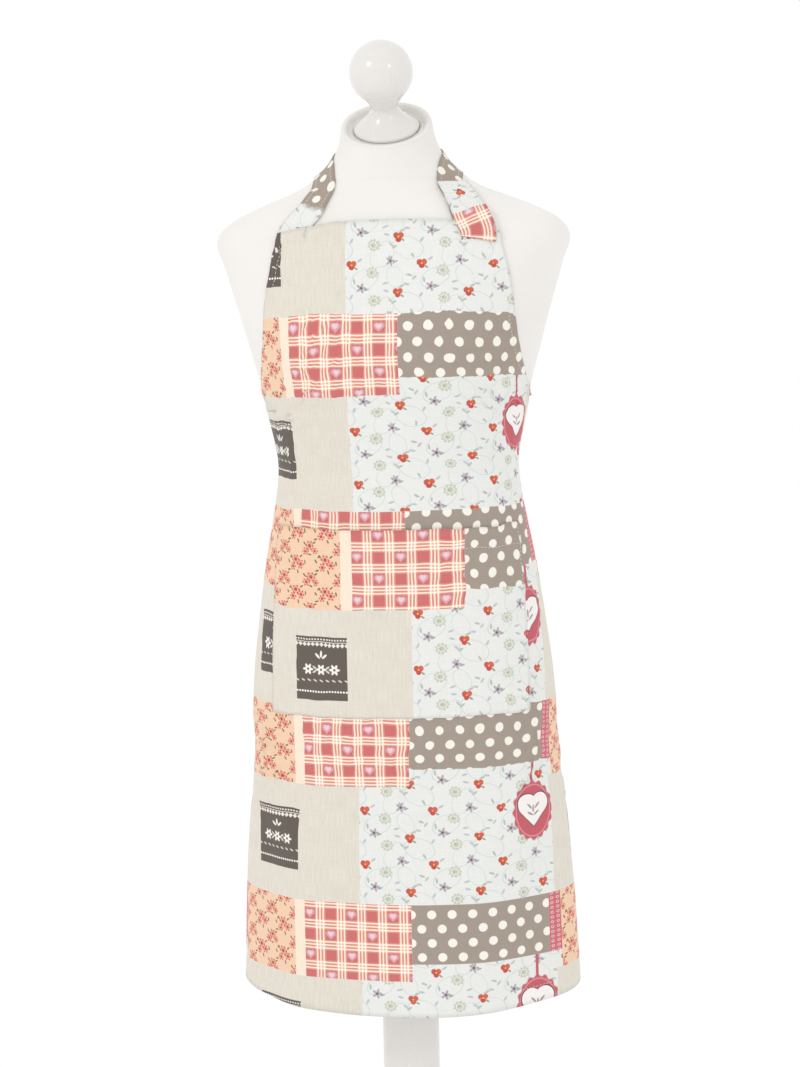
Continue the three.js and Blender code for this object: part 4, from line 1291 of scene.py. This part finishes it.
strap_path = route_on_bust(STRAP_ROUTE, 2.1, 170)
strap = band_piece(
    "neck_strap_cotton", strap_path, STRAP_WIDTH, [STRAP_PRINT, REVERSE], "neck_strap",
    {"held": "hung", "rests_on": ["jersey_knitted"]}, under=[(jersey_tree, 0.5)],
)
tab_path = route_on_bust([(25, 1346), (27.5, 1369), (36, 1388), (47, 1404)], 4.3, 30)
tab = band_piece(
    "neck_tab_cotton", tab_path, TAB_WIDTH, [TAB_PRINT, REVERSE], "neck_tab",
    {"held": "hung", "rests_on": ["neck_strap_cotton"]},
    under=[(jersey_tree, 2.4), (tree_of(apron), CLOTH + 0.7)],
)

BACK_OF_WAIST = off_surface(BUST, math.pi, TIE_HEIGHT, CLOTH_OUT)


def tie_path(side):
    start = angle_across(TIE_HEIGHT, APRON_HALF_WIDTH + side * APRON_SHIFT - 14)
    end = math.pi - 0.14
    steps = 40
    path = []
    for i in range(steps + 1):
        t = i / steps
        angle = side * (start + (end - start) * t)
        z = TIE_HEIGHT - 2.2 * math.sin(math.pi * t)
        lift = 4.9 - 2.2 * smooth_step(0.1, 0.4, t) + 2.5 * smooth_step(0.8, 1, t)
        path.append(
            (placed(off_surface(DRAPE, angle, z, lift, True)), outward(DRAPE, angle, z, True))
        )
    return path


def loop_path(side):
    """A bow loop's tape, out from the knot and back, in its own drooping plane."""
    droop = 35 * DEGREE
    along = Vector((side * math.cos(droop), 0, -math.sin(droop)))
    depth = Vector((0, 1, 0))
    start = Vector((side * 8, BACK_OF_WAIST.y + 14, TIE_HEIGHT))
    shape = [(0, 1.5), (22, -1.5), (60, -4.2), (100, -4), (117, 0), (100, 4.4), (60, 4.6), (22, 3), (0, 0.5)]
    points = through(shape, 64)
    path = []
    for i, p in enumerate(points):
        before, after = points[max(i - 1, 0)], points[min(i + 1, len(points) - 1)]
        ahead = (after - before).normalized()
        tangent = along * ahead.x + depth * ahead.y
        across = Vector((math.sin(droop) * side, 0, math.cos(droop)))
        out = across.cross(tangent).normalized()
        path.append((placed(start + along * p.x + depth * p.y), out))
    return path


def tail_path(side):
    steps = 70
    path = []
    for i in range(steps + 1):
        t = i / steps
        z = TIE_HEIGHT - 12 - TAIL_LENGTH * t
        angle = math.pi - side * (0.13 + 0.16 * t + 0.02 * math.sin(5 * t))
        lift = 3.2 + 5 * (1 - smooth_step(0, 0.12, t)) + 1.4 * math.sin(9 * t + side) ** 2
        path.append((placed(off_surface(BUST, angle, z, lift)), outward(BUST, angle, z)))
    return path


for name, side in (("right", 1), ("left", -1)):
    band_piece(
        f"waist_tie_{name}_cotton", tie_path(side), TIE_WIDTH, [APRON_PRINT, REVERSE],
        f"waist_tie_{name}", {"held": "stretched", "rests_on": ["jersey_knitted"]},
        under=[(jersey_tree, 0.8)], print_left=30 * side, print_top=84,
    )
    band_piece(
        f"tie_loop_{name}_cotton", loop_path(side), TIE_WIDTH, [APRON_PRINT, REVERSE],
        f"tie_loop_{name}", {"held": "folded", "rests_on": ["tie_knot_cotton"]},
        print_left=30 + 60 * side, print_top=84,
    )
    band_piece(
        f"tie_tail_{name}_cotton", tail_path(side), TIE_WIDTH, [APRON_PRINT, REVERSE],
        f"tie_tail_{name}", {"held": "hung", "rests_on": ["tie_knot_cotton"]},
        under=[(jersey_tree, 1.0)], print_left=110 * side, print_top=84,
    )


def knot_mesh():
    """Tape pulled tight round itself: a crowned lump with a wrap across it."""
    bm = bmesh.new()
    bmesh.ops.create_uvsphere(bm, u_segments=40, v_segments=28, radius=1)
    flat_cut = bm.loops.layers.uv.new("flat_cut")
    for face in bm.faces:
        for loop in face.loops:
            loop[flat_cut].uv = (loop.vert.co.x * 14 + 40, loop.vert.co.z * 16 + 120)
    for vertex in bm.verts:
        x, y, z = vertex.co
        wrap = 1 + 0.16 * math.exp(-((x / 0.42) ** 2)) - 0.1 * math.exp(-(((abs(x) - 0.62) / 0.14) ** 2))
        crease = 1 + 0.05 * math.sin(9 * z + 3 * x) * (1 - abs(x))
        vertex.co = placed(
            Vector((x * 11.4, BACK_OF_WAIST.y + 8.2 + y * 7.2 * wrap * crease, TIE_HEIGHT + z * 12.2 * wrap))
        )
    return bm


knot = new_piece(
    "tie_knot_cotton", knot_mesh(), [APRON_PRINT], "torso", ["tie_knot"]
)

# ---------------------------------------------------------------- stitching


def stitch_places(route, length, gap):
    """Middle, direction and outward side of each stitch along (point, outward) steps."""
    made, travelled, due = [], 0.0, gap
    for (a, out), (b, _) in zip(route, route[1:]):
        step = (b - a).length / MM
        while travelled + step >= due + length / 2:
            middle = a.lerp(b, (due + length / 2 - travelled) / step)
            made.append((middle, (b - a).normalized(), out))
            due += length + gap
        travelled += step
    return made


def stitches(bm, route, length=3.0, gap=1.2, thickness=0.28):
    """Lays short threads along a route, a few at a time because a large mesh is slow to add to."""
    size = Matrix.Diagonal((length / 2 * MM, thickness * MM, thickness * MM, 1))
    places = stitch_places(route, length, gap)
    for first in range(0, len(places), 24):
        few = bmesh.new()
        for middle, ahead, out in places[first : first + 24]:
            side = ahead.cross(out).normalized()
            lie = Matrix((ahead, side, side.cross(ahead))).transposed().to_4x4()
            bmesh.ops.create_uvsphere(
                few, u_segments=6, v_segments=4, radius=1,
                matrix=Matrix.Translation(middle) @ lie @ size,
            )
        short = bpy.data.meshes.new("few_stitches")
        few.to_mesh(short)
        few.free()
        bm.from_mesh(short)
        bpy.data.meshes.remove(short)


def on_cloth(places, lift):
    route = []
    for u, z in places:
        point, normal = body_at(u, z)
        route.append((point + normal * lift * MM, normal))
    return route


def side_seam(side):
    upper = [(side * (half_width(z) - 8), z) for z in (BIB_TOP - 3 - 4 * i for i in range(49))]
    lower = [
        (side * (APRON_HALF_WIDTH - 8), SIDE_CORNER - 2 - 6 * i)
        for i in range(int((SIDE_CORNER - HEM - 16) / 6))
    ]
    return [(u, z) for u, z in upper if abs(u) < APRON_HALF_WIDTH - 8.01] + lower


seams = bmesh.new()
for side in (-1, 1):
    stitches(seams, on_cloth(side_seam(side), CLOTH))
bib_line = [(u, BIB_TOP - 9) for u in range(-106, 107, 4)]
hem_line = [(u, HEM + 17) for u in range(-291, 292, 4)]
stitches(seams, on_cloth(bib_line, CLOTH))
stitches(seams, on_cloth(hem_line, CLOTH))


def pocket_line(places):
    made = []
    for across, down in places:
        point, _, _ = pocket_place(across, down)
        _, normal = body_at(across * POCKET_HALF_WIDTH, POCKET_TOP - down * POCKET_HEIGHT)
        made.append((point + normal * CLOTH * MM, normal))
    return made


inset = 1 - 3 / POCKET_HALF_WIDTH
foot = 1 - 3 / POCKET_HEIGHT
for places in (
    [(i / 40 * 2 - 1, 22 / POCKET_HEIGHT) for i in range(41)],
    [(-inset, i / 40) for i in range(41)],
    [(inset, i / 40) for i in range(41)],
    [((i / 40 * 2 - 1) * inset, foot) for i in range(41)],
):
    stitches(seams, pocket_line(places))
seam_threads = new_piece("apron_stitching", seams, [THREAD], "torso")


def band_seams(bm, piece, columns, rows, lift):
    """Two rows of stitches along a band, near its edges."""
    points = [v.co for v in piece.data.vertices]
    for column in (1, columns - 1):
        route = []
        for row in range(rows + 1):
            index = row * (columns + 1)
            here = points[index + column]
            outer = points[index + (0 if column == 1 else columns)]
            inner = points[index + (2 if column == 1 else columns - 2)]
            ahead = points[(min(row + 1, rows)) * (columns + 1) + column] - points[
                max(row - 1, 0) * (columns + 1) + column
            ]
            out = ahead.cross(outer - inner if column == 1 else inner - outer).normalized()
            near, normal, _, _ = jersey_tree.find_nearest(here)
            if out.dot(normal) < 0:
                out = -out
            route.append((here + out * lift * MM, out))
        stitches(bm, route)


strap_seams = bmesh.new()
band_seams(strap_seams, strap, 6, len(strap_path) - 1, 1.1)
band_seams(strap_seams, tab, 6, len(tab_path) - 1, 1.1)
new_piece("strap_stitching", strap_seams, [THREAD], "torso")

# ---------------------------------------------------------------- CAD nodes that stay

FINISHES = {
    "zinc_steel": ZINC,
    "polished_steel": POLISHED,
    "plywood": PLYWOOD,
    "bust_shell": GLASS_FIBRE,
    "knob_plastic": NYLON,
    "foot_rubber": RUBBER,
    "white_lacquered_wood": LACQUER,
    "white_jersey": JERSEY,
}
STAYING = {"base_board": PLYWOOD, "neck_cap": PLYWOOD, "torso_shell": GLASS_FIBRE}
for node_name, cad_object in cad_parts.items():
    cad_object.data.materials.clear()
    cad_object.data.materials.append(STAYING.get(node_name, ZINC))

# ---------------------------------------------------------------- studio

floor_mesh = bmesh.new()
bmesh.ops.create_grid(floor_mesh, x_segments=2, y_segments=2, size=30)
floor_data = bpy.data.meshes.new("floor")
floor_mesh.to_mesh(floor_data)
floor_mesh.free()
floor = bpy.data.objects.new("floor", floor_data)
bpy.context.scene.collection.objects.link(floor)
floor_paint = new_material("matt_white_paint", Base_Color=rgb("FFFFFF"), Roughness=0.9)[0]
floor_data.materials.append(floor_paint)

world = bpy.data.worlds.new("studio")
world.use_nodes = True
world.node_tree.nodes["Background"].inputs["Color"].default_value = (1, 1, 1, 1)
world.node_tree.nodes["Background"].inputs["Strength"].default_value = 1.0
bpy.context.scene.world = world
bpy.context.scene.view_settings.view_transform = "Standard"


def soft_box(name, place, aim, power, size):
    light = bpy.data.lights.new(name, "AREA")
    light.energy = power
    light.shape = "RECTANGLE"
    light.size, light.size_y = size
    made = bpy.data.objects.new(name, light)
    made.location = place
    made.rotation_euler = (Vector(aim) - Vector(place)).to_track_quat("-Z", "Y").to_euler()
    bpy.context.scene.collection.objects.link(made)


soft_box("key_left", (-1.5, -1.9, 2.6), (0, 0, 1.1), 8.5, (0.42, 0.42))
soft_box("fill_right", (1.7, -2.1, 2.3), (0, 0, 1.1), 3, (0.3, 0.3))

CAMERA_TURN = 8 * DEGREE
CAMERA_DOWN = 6.52 * DEGREE
CAMERA_ROLL = -1.3 * DEGREE
camera_data = bpy.data.cameras.new("camera")
camera_data.lens = 71.9
camera_data.sensor_width = 36
camera = bpy.data.objects.new("camera", camera_data)
camera.location = (
    POLE.x + 2.3 * math.sin(CAMERA_TURN),
    POLE.y - 2.3 * math.cos(CAMERA_TURN),
    1.297,
)
camera.rotation_euler = (
    Matrix.Rotation(CAMERA_TURN, 3, "Z")
    @ Matrix.Rotation(math.pi / 2 - CAMERA_DOWN, 3, "X")
    @ Matrix.Rotation(CAMERA_ROLL, 3, "Z")
).to_euler()
bpy.context.scene.collection.objects.link(camera)
bpy.context.scene.camera = camera

area = sum(p.area for p in jersey.data.polygons)
